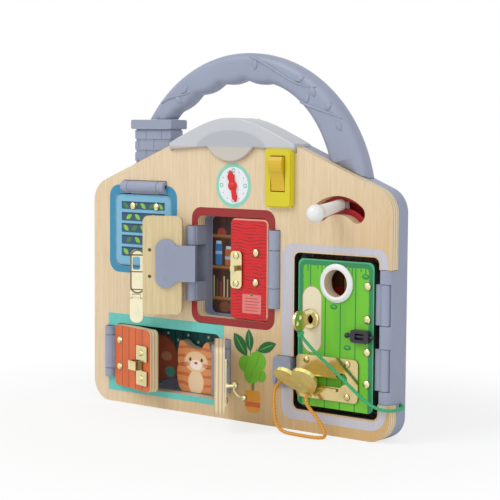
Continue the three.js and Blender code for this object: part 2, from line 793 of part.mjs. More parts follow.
// Lamp cap: a frosted saddle over the ridge with a round apron on the front
function lampCap() {
  const strip = new THREE.Shape();
  const end = lampReach;
  strip.moveTo(-end, roofAt(end) - lampStrip);
  strip.lineTo(0, apexHeight - lampStrip * 2);
  strip.lineTo(end, roofAt(end) - lampStrip);
  strip.lineTo(end, roofAt(end) + lampStrip / 3);
  strip.lineTo(lampRidgeRound, roofAt(lampRidgeRound) + lampStrip / 3);
  strip.quadraticCurveTo(0, lampTopZ + lampStrip / 2, -lampRidgeRound, roofAt(lampRidgeRound) + lampStrip / 3);
  strip.lineTo(-end, roofAt(end) + lampStrip / 3);
  strip.closePath();
  const low = box(-boardWidth, boardWidth, frontY - overrun, frontY - gap, 0, lampLowZ);
  const saddle = cut(slab(strip, frontY - gap - lampProud / 2, lampBackY, 6), low);
  const apron = new THREE.Shape();
  const discZ = lampDiscLowZ + lampDiscRadius;
  const half = Math.sqrt(lampDiscRadius ** 2 - (discZ - lampLowZ) ** 2);
  apron.moveTo(-end, roofAt(end) + lampStrip / 3);
  apron.lineTo(-end, lampLowZ);
  apron.lineTo(-half, lampLowZ);
  const start = Math.atan2(lampLowZ - discZ, -half);
  apron.absarc(0, discZ, lampDiscRadius, start, -Math.PI - start, false);
  apron.lineTo(end, lampLowZ);
  apron.lineTo(end, roofAt(end) + lampStrip / 3);
  apron.lineTo(lampRidgeRound, roofAt(lampRidgeRound) + lampStrip / 3);
  apron.quadraticCurveTo(0, lampTopZ + lampStrip / 2, -lampRidgeRound, roofAt(lampRidgeRound) + lampStrip / 3);
  apron.closePath();
  const front = slab(apron, frontY - gap - lampProud, frontY - gap, 8);
  return join(saddle, front);
}

// Light board: a strip with its lamps on two feet, at the bottom of its well
function lampBoard() {
  const backY = caseFrontY + lampWellDepth - gap;
  const z = (lampWell.z0 + lampWell.z1) / 2;
  const x0 = lampWell.x0 + gap * 2;
  const x1 = lampWell.x1 - gap * 2;
  let solid = box(x0, x1, backY - lampBoardFoot - lampBoardThickness, backY - lampBoardFoot, lampWell.z0 + gap * 2,
    lampWell.z1 - gap * 2);
  [x0, x1 - lampBoardThickness].forEach((x) => {
    solid = solid.add(box(x, x + lampBoardThickness, backY - lampBoardFoot - lampBoardThickness / 2, backY,
      lampWell.z0 + gap * 2, lampWell.z1 - gap * 2));
  });
  const face = backY - lampBoardFoot - lampBoardThickness;
  for (let i = 0; i < ledCount; i += 1) {
    const x = (i - (ledCount - 1) / 2) * ledPitch;
    solid = solid.add(rivet(x, z, face + gap / 2, ledRadius, ledHeight));
  }
  return solid;
}

// Clock pointer: two hands in one piece on an axle that is headed behind the panel
function clockHand() {
  const hands = new THREE.Shape();
  const faceY = frontY - gap;
  hands.moveTo(-pointerNeck, 0);
  hands.lineTo(-pointerHub * 0.8, pointerTip * 0.62);
  hands.lineTo(0, pointerTip);
  hands.lineTo(pointerHub * 0.8, pointerTip * 0.62);
  hands.lineTo(pointerNeck, 0);
  hands.lineTo(pointerHub * 0.55, -pointerTail * 0.75);
  hands.lineTo(0, -pointerTail);
  hands.lineTo(-pointerHub * 0.55, -pointerTail * 0.75);
  hands.closePath();
  const blades = slab(hands, -pointerThickness, 0);
  const hub = rodAlong('y', pointerHub, -pointerThickness, 0, 0, 0, 16);
  const button = rivet(0, 0, -pointerThickness + gap / 2, pointerHub * 0.75, pointerThickness * 0.7);
  const axle = rodAlong('y', axleRadius, -pointerThickness / 2, panelBackY - faceY + gap, 0, 0, 12);
  const head = rodAlong(
    'y', axleHead, panelBackY - faceY + gap, panelBackY - faceY + gap + axleHeadThickness, 0, 0, 12);
  return join(blades, hub, button, axle, head);
}

// Lamp switch
function switchPlate() {
  const x0 = switchX - switchWidth / 2;
  const x1 = switchX + switchWidth / 2;
  const base = slab(
    roundedBox(x0, x1, switchBottom, switchTop, switchRound), frontY - gap - switchProud + 1, frontY - gap, 3);
  const step = slab(
    roundedBox(x0 + 1, x1 - 1, switchBottom + 1, switchTop - 1, switchRound), frontY - gap - switchProud,
    frontY - gap, 3);
  const bore = box(
    switchX - rockerWidth / 2 - runGap, switchX + rockerWidth / 2 + runGap, frontY - switchProud - overrun,
    frontY + overrun, rockerZ - rockerHeight / 2 - runGap, rockerZ + rockerHeight / 2 + runGap);
  return cut(join(base, step), bore);
}

function switchRocker() {
  const section = new THREE.Shape();
  const half = rockerHeight / 2 - gap;
  section.moveTo(-half, rockerDeep / 2);
  section.lineTo(-half, -rockerDip);
  section.quadraticCurveTo(-half / 2, -rockerRise - rockerDip * 2, 0, -rockerRise / 2);
  section.quadraticCurveTo(half / 2, 0, half, -rockerDip);
  section.lineTo(half, rockerDeep / 2);
  section.lineTo(0, rockerDeep);
  section.closePath();
  const options = { depth: rockerWidth - 2 * gap, bevelEnabled: false, curveSegments: 5 };
  const geometry = new THREE.ExtrudeGeometry(section, options);
  geometry.translate(0, 0, -rockerWidth / 2 + gap);
  geometry.rotateY(Math.PI / 2);
  return solidOf(geometry);
}

// Lever: a fat stick whose neck swings through the red plate on an arm behind the panel
function leverWellShape(grow) {
  const half = leverSlotWidth / 2 + leverPlateMargin + grow;
  const reach = radians(leverSlotHalfAngle);
  const up = Math.PI / 2;
  const shape = new THREE.Shape();
  const left = leverPath * Math.cos(up - reach) + half;
  shape.moveTo(leverX - half / 2, leverPivotZ - half / 2);
  shape.lineTo(leverX + half / 2, leverPivotZ - half / 2);
  shape.lineTo(leverX + left, leverPivotZ + leverPath * Math.sin(up - reach) - half / 2);
  shape.absarc(leverX, leverPivotZ, leverPath + half, up - reach, up + reach, false);
  shape.lineTo(leverX - left, leverPivotZ + leverPath * Math.sin(up - reach) - half / 2);
  shape.closePath();
  return shape;
}

const leverPlateFrontY = caseFrontY + gap;
const leverArmFrontY = leverPlateFrontY + leverPlateThickness + runGap;

function leverPlate() {
  const outline = slab(leverWellShape(-gap * 2), leverPlateFrontY, leverPlateFrontY + leverPlateThickness, 8);
  return cut(
    outline, slab(leverArc(leverNeck + runGap), leverPlateFrontY - overrun, leverPlateFrontY + overrun, 10),
    leverPinSolid(gap));
}

function leverPinSolid(grow) {
  return rodAlong(
    'y', leverPinRadius + grow, leverArmFrontY - leverPlateThickness - runGap - gap,
    caseFrontY + leverWellDepth + backWall, leverX, leverPivotZ, 12);
}

function leverStick() {
  const tipY = frontY - leverLength;
  const profile = [
    [0, 0], [leverTipRadius * 0.55, 0.9], [leverTipRadius * 0.9, 3.2], [leverTipRadius, 6.4],
    [leverRootRadius, leverLength - 4], [leverRootRadius, leverLength + panelThickness - gap * 2],
    [leverNeck, leverLength + panelThickness - gap * 2], [leverNeck, leverArmFrontY - tipY + gap], [0, leverArmFrontY - tipY + gap],
  ].map(([radius, along]) => new THREE.Vector2(radius, along));
  const lathe = new THREE.LatheGeometry(profile, 16);
  lathe.translate(0, tipY, leverPath);
  const arm = slab(
    roundedBox(-leverArmWidth / 2, leverArmWidth / 2, -leverArmWidth / 2, leverPath + leverArmWidth / 2,
      leverArmWidth / 2 - gap), leverArmFrontY, leverArmFrontY + leverArmThickness, 4);
  const eye = rodAlong(
    'y', leverPinRadius + gap * 2, leverArmFrontY - overrun, leverArmFrontY + overrun, 0, 0, 12);
  return cut(join(solidOf(lathe), arm), eye);
}

// Leaves

function leafSlab(x0, x1, z0, z1, radius = leafRound) {
  return slab(roundedBox(x0, x1, z0, z1, radius), frontY, frontY + leafThickness, 3);
}

function rivetBores(places) {
  return places.map(([x, z]) => rodAlong(
    'y', rivetShank + gap / 2, frontY - overrun, plateBackY + overrun, x, z, rivetSides));
}

// A group that turns about an upright hinge, its pieces still drawn at their closed places
function swingGroup(x, y, degrees) {
  const pivot = new THREE.Group();
  pivot.position.set(x, y, 0);
  pivot.rotation.z = radians(degrees);
  const inner = new THREE.Group();
  inner.position.set(-x, -y, 0);
  pivot.add(inner);
  board.add(pivot);
  return inner;
}

function rivetPlaces(side, axisX, barrel) {
  const middle = (barrel.from + barrel.to) / 2;
  const x = axisX + side * (axisOffset + hingeRivetInset);
  const spread = (barrel.to - barrel.from) / 2 - barrel.knuckle;
  return [[x, middle + spread - rivetRadius], [x, middle - spread + rivetRadius]];
}

function addHinge(parent, name, hinge, plateHeight, places) {
  const leaf = hingeLeaf(hinge.side, hinge.barrel, plateHeight).translate([hinge.x, axisY, 0]);
  place(parent, `${name}_hinge`, cut(leaf, ...rivetBores(places)), 'greyPlastic');
}

function addRivets(parent, name, places) {
  places.forEach(([x, z], i) => {
    place(parent, `${name}_rivet_${i + 1}`,
      rivet(x, z, frontY - gap / 2, rivetRadius, rivetHeight, leafThickness + hingePlateThickness), 'brass');
  });
}

// Brass plate with its own domed rivets on a leaf
function sheetPlate({ x0, x1, z0, z1 }, round, rivetsAt) {
  const face = frontY - gap;
  const plate = slab(roundedBox(x0, x1, z0, z1, round), face - sheet, face, 3);
  const heads = rivetsAt.map(([x, z]) => rivet(x, z, face - sheet + gap / 2, plateRivetRadius, plateRivetHeight));
  return join(plate, ...heads);
}

// Store: left leaf with the hasp
function storeLeft() {
  const hinge = uprightHinges.storeLeft;
  const inner = swingGroup(hinge.x, axisY, -storeLeftOpen);
  const places = rivetPlaces(hinge.side, hinge.x, hinge.barrel);
  const leaf = leafSlab(
    storeHole.x0 + doorGap, storeSplitX - splitGap / 2, storeHole.z0 + doorGap, storeHole.z1 - doorGap);
  place(inner, 'store_door_left', cut(leaf, ...rivetBores(places)), 'plywood');
  addHinge(inner, 'store_left', hinge, storePlateHeight, places);
  hasp(inner);
}

function hasp(parent) {
  const face = frontY - gap;
  const pinY = face - haspStand;
  const middleX = (haspPlate.x0 + haspPlate.x1) / 2;
  const plate = sheetPlate(haspPlate, 2.5, [
    [middleX, haspPlate.z1 - plateRivetRadius * 1.6], [middleX, haspPlate.z0 + plateRivetRadius * 1.6]]);
  const ends = [[haspPlate.z0, haspKnuckle.from - gap], [haspKnuckle.to + gap, haspPlate.z1]];
  const barrels = ends.map(([from, to]) => join(
    rodAlong('z', haspBarrelRadius, from, to, haspPinX, pinY, 12),
    box(haspPinX - haspBarrelRadius, haspPinX, pinY, face, from, to)));
  const pin = rodAlong('z', haspPinRadius, haspPlate.z0, haspPlate.z1, haspPinX, pinY, 12);
  place(parent, 'hasp_base', join(plate, ...barrels, pin), 'brass');
  haspCover(parent, pinY);
}

function haspCover(parent, pinY) {
  const x0 = haspPinX + haspBarrelRadius + gap;
  const x1 = haspPinX + haspWidth;
  const outline = new THREE.Shape();
  const archX = (x0 + x1) / 2;
  const archRadius = (x1 - x0) / 2;
  outline.moveTo(x0, haspBottom);
  outline.lineTo(x1, haspBottom);
  outline.lineTo(x1, haspLoopTop - archRadius);
  outline.absarc(archX, haspLoopTop - archRadius, archRadius, 0, Math.PI, false);
  outline.closePath();
  const cover = slab(outline, pinY - haspThickness / 2, pinY + haspThickness / 2, 6);
  const barrel = rodAlong('z', haspBarrelRadius, haspKnuckle.from, haspKnuckle.to, haspPinX, pinY, 12);
  const web = box(
    haspPinX, x0 + gap, pinY - haspThickness / 2, pinY + haspThickness / 2, haspKnuckle.from, haspKnuckle.to);
  const window = slab(
    roundedBox(x0 + haspWindow.inset, x1 - haspWindow.inset, haspWindow.z0, haspWindow.z1, 1.6),
    pinY - overrun, pinY + overrun, 3);
  const bore = rodAlong('z', haspPinRadius + gap, haspBottom, haspLoopTop, haspPinX, pinY, 12);
  const tabZ = haspBottom - tabBarrelRadius - gap * 2;
  const ear = (from, to) => join(
    rodAlong('x', tabBarrelRadius, from, to, pinY, tabZ, 12),
    box(from, to, pinY - haspThickness / 2, pinY + haspThickness / 2, tabZ, haspBottom + gap));
  const earWidth = archRadius / 3;
  const ears = [ear(x0, x0 + earWidth), ear(x1 - earWidth, x1)];
  const tabPin = rodAlong('x', tabPinRadius, x0, x1, pinY, tabZ, 12);
  place(parent, 'hasp_cover', join(cut(join(cover, barrel, web), window, bore), ...ears, tabPin), 'brass');
  const tab0 = archX - tabWidth / 2;
  const tab1 = archX + tabWidth / 2;
  const tabShape = roundedPolygon([
    [tab0, tabBottom, tabWidth * 0.45], [tab1, tabBottom, tabWidth * 0.45],
    [tab1, tabZ - tabBarrelRadius - gap, 0], [tab0, tabZ - tabBarrelRadius - gap, 0]]);
  const tab = slab(tabShape, pinY - tabThickness / 2, pinY + tabThickness / 2, 5);
  const root0 = x0 + earWidth + gap;
  const root1 = x1 - earWidth - gap;
  const tabBarrel = rodAlong('x', tabBarrelRadius, root0, root1, pinY, tabZ, 12);
  const tabWeb = box(
    root0, root1, pinY - tabThickness / 2, pinY + tabThickness / 2, tabZ - tabBarrelRadius - overrun / 2, tabZ);
  const tabBore = rodAlong('x', tabPinRadius + gap, x0, x1, pinY, tabZ, 12);
  place(parent, 'hasp_tab', cut(join(tab, tabBarrel, tabWeb), tabBore), 'brass');
}

// Store: right leaf with the catch plate and its hook
function storeRight() {
  const hinge = uprightHinges.storeRight;
  const places = rivetPlaces(hinge.side, hinge.x, hinge.barrel);
  const leaf = leafSlab(
    storeSplitX + splitGap / 2, storeHole.x1 - doorGap, storeHole.z0 + doorGap, storeHole.z1 - doorGap);
  place(board, 'store_door_right', cut(leaf, ...rivetBores(places)), 'red');
  addHinge(board, 'store_right', hinge, storePlateHeight, places);
  addRivets(board, 'store_right', places);
  const middleX = (catchPlate.x0 + catchPlate.x1) / 2;
  const plate = sheetPlate(catchPlate, 3.4, [
    [middleX, catchPlate.z1 - plateRivetRadius * 1.3], [middleX, catchPlate.z0 + plateRivetRadius * 1.3]]);
  const face = frontY - gap - sheet;
  const half = catchHookWidth / 2;
  const hook = new THREE.Shape();
  hook.moveTo(middleX - half, face + sheet / 2);
  hook.lineTo(middleX - half, face - catchHookReach);
  hook.lineTo(middleX + half * 1.1, face - catchHookReach);
  hook.lineTo(middleX + half * 1.1, face - catchHookReach + sheet * 1.3);
  hook.lineTo(middleX + half * 0.2, face - catchHookReach + sheet * 1.3);
  hook.lineTo(middleX + half * 0.2, face + sheet / 2);
  hook.closePath();
  place(board, 'catch_plate', join(
    plate, column(hook, catchHookZ - catchHookWidth / 2, catchHookZ + catchHookWidth / 2)), 'brass');
}

// Window flap, hinged along its top edge
function windowFlap() {
  const middle = (windowBarrel.from + windowBarrel.to) / 2;
  const spread = (windowBarrel.to - windowBarrel.from) / 2 - windowBarrel.knuckle - rivetRadius;
  const places = [-1, 1].map((end) => [middle + end * spread, windowHole.z1 - hingeRivetInset + axisOffset / 3]);
  const leaf = leafSlab(
    windowHole.x0 + doorGap, windowHole.x1 - doorGap, windowHole.z0 + doorGap, windowHole.z1 - doorGap, leafRound * 1.3);
  place(board, 'window_flap', cut(leaf, ...rivetBores(places)), 'blue');
  const flapHinge = toWindow(hingeLeaf(1, windowBarrel, windowPlateWidth));
  place(board, 'window_hinge', cut(flapHinge, ...rivetBores(places)), 'greyPlastic');
  addRivets(board, 'window', places);
  place(board, 'window_pin', toWindow(hingePin(windowBarrel)), 'steel');
}

// Kennel: orange leaf with the strike plate
function orangeDoor() {
  const hinge = uprightHinges.orange;
  const inner = swingGroup(hinge.x, axisY, -orangeOpen);
  const places = rivetPlaces(hinge.side, hinge.x, hinge.barrel).map(([x, z]) => [x - hingeRivetInset / 3, z]);
  const leaf = leafSlab(
    kennelHole.x0 + doorGap, kennelSplitX - splitGap / 2, kennelHole.z0 + doorGap, kennelHole.z1 - doorGap);
  place(inner, 'orange_door', cut(leaf, ...rivetBores(places)), 'orange');
  addHinge(inner, 'orange', hinge, kennelPlateHeight, places);
  addRivets(inner, 'orange', places);
  strike(inner);
}

function strike(parent) {
  const inset = plateRivetRadius * 2;
  const { x0, x1, z0, z1 } = strikePlate;
  const plate = sheetPlate(strikePlate, 1.5, [[x0 + inset * 1.3, z1 - inset], [x0 + inset * 1.3, z0 + inset]]);
  const face = frontY - gap - sheet;
  const notch = box(
    x1 - strikeNotch.width, x1 + overrun, face - overrun, frontY, strikeNotch.z0, strikeNotch.z1);
  const mid = (strikeNotch.z0 + strikeNotch.z1) / 2;
  const staple = box(
    x0 - stapleLength / 2, x0 + stapleLength / 2, face - stapleReach, frontY - gap,
    mid - stapleWidth / 2, mid + stapleWidth / 2);
  const hollow = box(
    x0 - stapleLength / 2 + stapleWall, x0 + stapleLength / 2 - stapleWall, face - stapleReach + stapleWall,
    frontY + overrun, mid - stapleWidth, mid + stapleWidth);
  place(parent, 'strike_plate', join(cut(plate, notch), cut(staple, hollow)), 'brass');
}

// Kennel: the other leaf, swung wide open, with the swing hook
function kennelDoor() {
  const hinge = uprightHinges.kennel;
  const inner = swingGroup(hinge.x, axisY, kennelOpen);
  const places = rivetPlaces(hinge.side, hinge.x, hinge.barrel);
  const leaf = leafSlab(
    kennelSplitX + splitGap / 2, kennelHole.x1 - doorGap, kennelHole.z0 + doorGap, kennelHole.z1 - doorGap);
  place(inner, 'kennel_door', cut(leaf, ...rivetBores(places)), 'plywood');
  addHinge(inner, 'kennel', hinge, kennelPlateHeight, places);
  const post = rodAlong(
    'y', hookPost.radius, frontY - gap - hookPost.height, frontY - gap, hookPost.x, hookPost.z, 12);
  const cap = rivet(hookPost.x, hookPost.z, frontY - hookPost.height, hookEye, plateRivetHeight);
  const collar = rodAlong(
    'y', hookEye, frontY - gap - sheet * 2, frontY - gap, hookPost.x, hookPost.z, 12);
  const plate = sheetPlate(hookPlate, 1.5, [
    [hookPost.x, hookPlate.z1 - plateRivetRadius * 1.6], [hookPost.x, hookPlate.z0 + plateRivetRadius * 1.6]]);
  place(inner, 'hook_plate', join(plate, post, cap, collar), 'brass');
  place(inner, 'swing_hook', swingHook(), 'brass');
}

function tubeAlong(points, radius, sides, steps, closedCurve = false) {
  const curve = new THREE.CatmullRomCurve3(points, closedCurve, 'centripetal');
  const section = new THREE.Shape();
  for (let i = 0; i < sides; i += 1) {
    const angle = (2 * Math.PI * i) / sides;
    const method = i === 0 ? 'moveTo' : 'lineTo';
    section[method](radius * Math.cos(angle), radius * Math.sin(angle));
  }
  section.closePath();
  return solidOf(new THREE.ExtrudeGeometry(section, { steps, bevelEnabled: false, extrudePath: curve }));
}

function swingHook() {
  const eyeY = frontY - hookPost.height + hookWire + gap;
  const { x, z } = hookPost;
  const eye = cut(
    rodAlong('y', hookEye + hookWire, eyeY - hookWire, eyeY + hookWire, x, z, 16),
    rodAlong('y', hookPost.radius + gap, eyeY - overrun, eyeY + overrun, x, z, 12));
  const side = x - hookEye;
  const path = [
    [side, eyeY, z + hookWire], [side - hookWire, eyeY, z - hookDrop * 0.35],
    [side - hookWire, eyeY - hookReach * 0.4, z - hookDrop * 0.75], [side, eyeY - hookReach, z - hookDrop]];
  const wire = tubeAlong(path.map((point) => new THREE.Vector3(...point)), hookWire, 8, 14);
  const end = path[path.length - 1];
  const ball = solidOf(new THREE.SphereGeometry(hookBall, 10, 8).translate(...end));
  return join(eye, wire, ball);
}

// Gate: green leaf on the corner hinge
const gateLeafRight = gateHole.x1 - gateEdgeGap;

function gateRivetPlaces() {
  const x = gateLeafRight - gateRivetInset;
  return [116.6, 91.6, 67.2, 43.2].map((z) => [x, z]);
}

function gateHinge() {
  const arms = [gateKnuckleLow, gateKnuckleHigh].map(({ from, to }) => join(
    rodAlong('z', gateBarrelRadius, from, to, gateAxisX, gateAxisY, 20),
    box(gateLeafRight + gap, gateAxisX, gateAxisY - gateBarrelRadius / 2, plateBackY, from, to)));
  const middle = (gateKnuckleLow.from + gateKnuckleHigh.to) / 2;
  const plate = slab(
    roundedBox(gateLeafRight - gatePlateReach, gateLeafRight + gateEdgeGap - gap, middle - gatePlateHeight / 2,
      middle + gatePlateHeight / 2, 6), plateFrontY, plateBackY, 3);
  const arched = arms.map((arm, i) => {
    const { from, to } = [gateKnuckleLow, gateKnuckleHigh][i];
    return arm.add(box(gateLeafRight, gateAxisX, plateFrontY, plateBackY, from, to));
  });
  const relief = box(
    gateHole.x1 - overrun + gap, gateAxisX + overrun, plateFrontY - overrun, plateBackY + overrun,
    gateKnuckleLow.to, gateKnuckleHigh.from);
  const bore = rodAlong(
    'z', gatePinRadius + gap, gateBlockBottom, gateBlockTop, gateAxisX, gateAxisY, 12);
  return cut(join(plate, ...arched), relief, bore, ...rivetBores(gateRivetPlaces()));
}

function greenDoor() {
  const leaf = leafSlab(
    gateHole.x0 + gateEdgeGap, gateLeafRight, gateHole.z0 + gateEdgeGap, gateHole.z1 - gateEdgeGap);
  const port = rodAlong(
    'y', portInner + sheet + gap, frontY - overrun, frontY + overrun + leafThickness, portX, portZ, 24);
  const lockBore = rodAlong(
    'y', lockBarrel + gap, frontY - overrun, frontY + overrun + leafThickness, lockX, lockZ, 16);
  const reach = heartHead + gap * 2;
  const recess = box(
    slideSlot.x0 - reach, slideSlot.x1 + reach, frontY - overrun, frontY + heartRecess,
    slideSlot.z - reach, slideSlot.z + reach);
  const entry = rodAlong(
    'y', slideSlot.entry, frontY - overrun, frontY + heartRecess, slideSlot.x1, slideSlot.z + slideSlot.width / 2, 16);
  place(board, 'green_door', cut(leaf, port, lockBore, recess, entry, ...rivetBores(gateRivetPlaces())), 'green');
  place(board, 'gate_hinge', gateHinge(), 'greyPlastic');
  place(board, 'gate_pin', rodAlong(
    'z', gatePinRadius, gateBlockBottom + gap, gateBlockTop - gap, gateAxisX, gateAxisY, 12), 'steel');
  addRivets(board, 'gate', gateRivetPlaces());
}

// Porthole: a flanged ring with a round lip, open through its middle
function portholeRing() {
  const face = frontY - gap;
  const profile = [
    [portInner, leafThickness], [portInner, -portProud * 0.8], [portInner + 1.4, -portProud],
    [portOuter - 2.2, -portProud], [portOuter, -portProud * 0.4], [portOuter, 0],
    [portInner + sheet, 0], [portInner + sheet, leafThickness], [portInner, leafThickness],
  ].map(([radius, along]) => new THREE.Vector2(radius, along));
  const ring = new THREE.LatheGeometry(profile, 28);
  ring.translate(portX, 0, 0);
  ring.translate(-portX, 0, 0);
  ring.translate(portX, face, portZ);
  return solidOf(ring);
}

function lockCylinder() {
  const face = frontY - gap;
  const profile = [
    [0, -lockProud], [lockBarrel, -lockProud], [lockRadius - 0.8, -lockProud], [lockRadius, -lockProud * 0.6],
    [lockRadius, 0], [lockBarrel, 0], [lockBarrel, lockDepth], [0, lockDepth],
  ].map(([radius, along]) => new THREE.Vector2(radius, along));
  const body = new THREE.LatheGeometry(profile, 20);
  body.translate(lockX, face, lockZ);
  const slot = box(
    lockX - keySlot / 2, lockX + keySlot / 2, face - lockProud - overrun, face + keyBladeIn,
    lockZ - keyBladeHeight / 2 - gap, lockZ + keyBladeHeight / 2 + gap);
  const well = rodAlong(
    'y', keyBladeHeight / 2 + gap * 2, face - lockProud - overrun, face + keyBladeIn, lockX, lockZ, 16);
  return cut(solidOf(body), slot, well);
}

// Key: a round bow with its cord hole, on a stepped blade in the lock
function doorKey() {
  const face = frontY - gap - lockProud;
  const blade = box(
    -keyBladeThickness / 2, keyBladeThickness / 2, face - keyShoulder / 2, face + lockProud + keyBladeIn - gap,
    -keyBladeHeight / 2, keyBladeHeight / 2);
  const bowY = face - keyShoulder - keyBow * 0.75;
  const bow = rodAlong('x', keyBow, -keyBowThickness / 2, keyBowThickness / 2, bowY, 0, 20);
  const neck = box(
    -keyBowThickness / 2, keyBowThickness / 2, bowY, face - gap, -keyBladeHeight / 2 - 1, keyBladeHeight / 2 + 1);
  const hole = rodAlong(
    'x', keyBowHole, -overrun, overrun, bowY - keyBow * 0.55, -keyBow * 0.2, 12);
  const window = rodAlong(
    'x', keyBowHole, -overrun, overrun, bowY - keyBow * 0.1, keyBow * 0.35, 12);
  return cut(join(blade, neck, bow), hole, window);
}

// Small sliding bolt
function boltBody() {
  const face = frontY - gap;
  const body = slab(
    roundedBox(boltX0, boltX1, boltZ - boltHeight / 2, boltZ + boltHeight / 2, 2), face - boltDepth, face, 3);
  const mid = (boltX0 + boltX1) / 2;
  const quarter = (boltX1 - boltX0) / 4;
  const window = box(
    mid - quarter, mid + quarter, face - boltDepth - overrun, face - sheet, boltZ - boltHeight / 4, boltZ + boltHeight / 4);
  const bore = rodAlong(
    'x', boltRodRadius + gap, boltX0 - overrun, boltX1 + overrun, face - boltDepth / 2, boltZ, 12);
  return cut(body, window, bore);
}

function boltRod() {
  const y = frontY - gap - boltDepth / 2;
  const rod = rodAlong('x', boltRodRadius, boltLeft, boltRight, y, boltZ, 12);
  const knob = solidOf(new THREE.SphereGeometry(boltKnobRadius, 10, 8).translate(boltLeft, y - gap, boltZ));
  return join(rod, knob);
}

// Slide plate: a slot between raised rails, with a round entry at its right end
function slideSolid() {
  const { x0, x1, z0, z1, r } = slidePlate;
  const face = frontY - gap;
  const base = slab(roundedBox(x0, x1, z0, z1, r), face - sheet, face, 3);
  const half = slideSlot.width / 2;
  const rail = (z) => box(
    slideSlot.x0 - r / 2, slideSlot.x1 - slideSlot.entry, face - sheet - slideRailThickness, face,
    z - slideRail / 2, z + slideRail / 2);
  const rails = [rail(slideSlot.z + half + slideRail), rail(slideSlot.z - half - slideRail)];
  const slot = slab(
    roundedBox(slideSlot.x0 - half, slideSlot.x1, slideSlot.z - half, slideSlot.z + half, half - gap),
    face - overrun, face + overrun, 4);
  const entry = rodAlong(
    'y', slideSlot.entry, face - overrun * 2, face + overrun, slideSlot.x1, slideSlot.z + half, 16);
  const headsAt = [[x0 + r * 2.4, z1 - r], [x1 - r * 2.4, z1 - r], [x1 - r * 2.4, z0 + r]];
  const heads = headsAt.map(([x, z]) => rivet(x, z, face - sheet + gap / 2, plateRivetRadius, plateRivetHeight));
  return join(cut(join(base, ...rails), slot, entry), ...heads);
}

// Heart: a flat heart that leans out from its slider pin
function heartShape() {
  const shape = new THREE.Shape();
  const half = heartWidth / 2;
  const top = heartHeight;
  shape.moveTo(0, 0);
  shape.bezierCurveTo(half * 0.35, top * 0.22, half, top * 0.42, half, top * 0.72);
  shape.bezierCurveTo(half, top * 0.96, half * 0.22, top * 1.1, 0, top * 0.8);
  shape.bezierCurveTo(-half * 0.22, top * 1.1, -half, top * 0.96, -half, top * 0.72);
  shape.bezierCurveTo(-half, top * 0.42, -half * 0.35, top * 0.22, 0, 0);
  return shape;
}

function heartSlider() {
  const leaf = slab(heartShape(), -heartThickness / 2, heartThickness / 2, 6);
  const centreShare = 0.5;
  const turned = leaf
    .translate([0, 0, -heartHeight * centreShare])
    .rotate([0, -heartTurn, 0])
    .rotate([heartTilt, 0, 0])
    .translate([0, -heartStand, 0]);
  const slotY = -gap - sheet;
  const pin = rodAlong('y', heartStem, -heartStand, heartHeadThickness, 0, 0, 16);
  const head = rodAlong('y', heartHead, gap, gap + heartHeadThickness, 0, 0, 16);
  const collar = rodAlong('y', heartStem * 1.7, slotY - heartStem, slotY - gap, 0, 0, 16);
  return join(turned, pin, collar, head);
}

// Cat figure: a rounded plywood cut-out with two ears and a tail curl
function catFigure() {
  const half = catWidth / 2;
  const top = catHeight;
  const shape = new THREE.Shape();
  shape.moveTo(-half * 0.62, 0);
  shape.lineTo(half * 0.7, 0);
  shape.quadraticCurveTo(half * 1.05, top * 0.04, half, top * 0.26);
  shape.quadraticCurveTo(half * 0.98, top * 0.42, half * 0.8, top * 0.55);
  shape.quadraticCurveTo(half * 0.86, top * 0.78, half * 0.66, top * 0.98);
  shape.quadraticCurveTo(half * 0.5, top * 1.03, half * 0.3, top * 0.86);
  shape.quadraticCurveTo(-half * 0.15, top * 0.82, -half * 0.5, top * 0.9);
  shape.quadraticCurveTo(-half * 0.8, top * 1.04, -half * 0.88, top * 0.94);
  shape.quadraticCurveTo(-half * 1.02, top * 0.72, -half * 0.94, top * 0.52);
  shape.quadraticCurveTo(-half * 1.08, top * 0.3, -half * 0.9, top * 0.1);
  shape.quadraticCurveTo(-half * 0.84, 0, -half * 0.62, 0);
  return slab(shape, 0, catThickness, 4);
}

// Assembly

place(board, 'front_panel', frontPanel(), 'plywood');
place(board, 'back_case', backCase(), 'greyPlastic');
place(board, 'battery_cover', batteryCover(), 'greyPlastic');
place(board, 'carry_handle', carryHandle(), 'greyPlastic');
place(board, 'chimney', chimney(), 'greyPlastic');
place(board, 'lamp_cap', lampCap(), 'frosted');
place(board, 'lamp_board', lampBoard(), 'board');
place(board, 'switch_plate', switchPlate(), 'yellow');
place(board, 'lever_plate', leverPlate(), 'red');
place(board, 'lever_pin', leverPinSolid(0), 'steel');

const pointer = new THREE.Group();
pointer.position.set(clockX, frontY - gap, clockZ);
pointer.rotation.y = radians(-pointerAngle);
board.add(pointer);
place(pointer, 'clock_hand', clockHand(), 'red');

const rocker = new THREE.Group();
rocker.position.set(switchX, frontY - gap - switchProud, rockerZ);
rocker.rotation.x = radians(rockerTilt);
board.add(rocker);
place(rocker, 'switch_rocker', switchRocker(), 'amber');

const lever = new THREE.Group();
lever.position.set(leverX, 0, leverPivotZ);
lever.rotation.y = radians(-leverRestAngle);
board.add(lever);
place(lever, 'lever_stick', leverStick(), 'white');

windowFlap();
storeLeft();
storeRight();
orangeDoor();
kennelDoor();
Object.entries(uprightHinges).forEach(([name, { x, barrel }]) => {
  const nodeName = name.replace(/([A-Z])/g, (letter) => `_${letter.toLowerCase()}`);
  place(board, `${nodeName}_pin`, hingePin(barrel).translate([x, axisY, 0]), 'steel');
});

greenDoor();
place(board, 'porthole_ring', portholeRing(), 'white');
place(board, 'lock_cylinder', lockCylinder(), 'brass');
place(board, 'slide_plate', slideSolid(), 'brass');
place(board, 'bolt_body', boltBody(), 'black');
place(board, 'bolt_rod', boltRod(), 'steel');

const key = new THREE.Group();
key.position.set(lockX, 0, lockZ);
board.add(key);
place(key, 'door_key', doorKey(), 'brass');

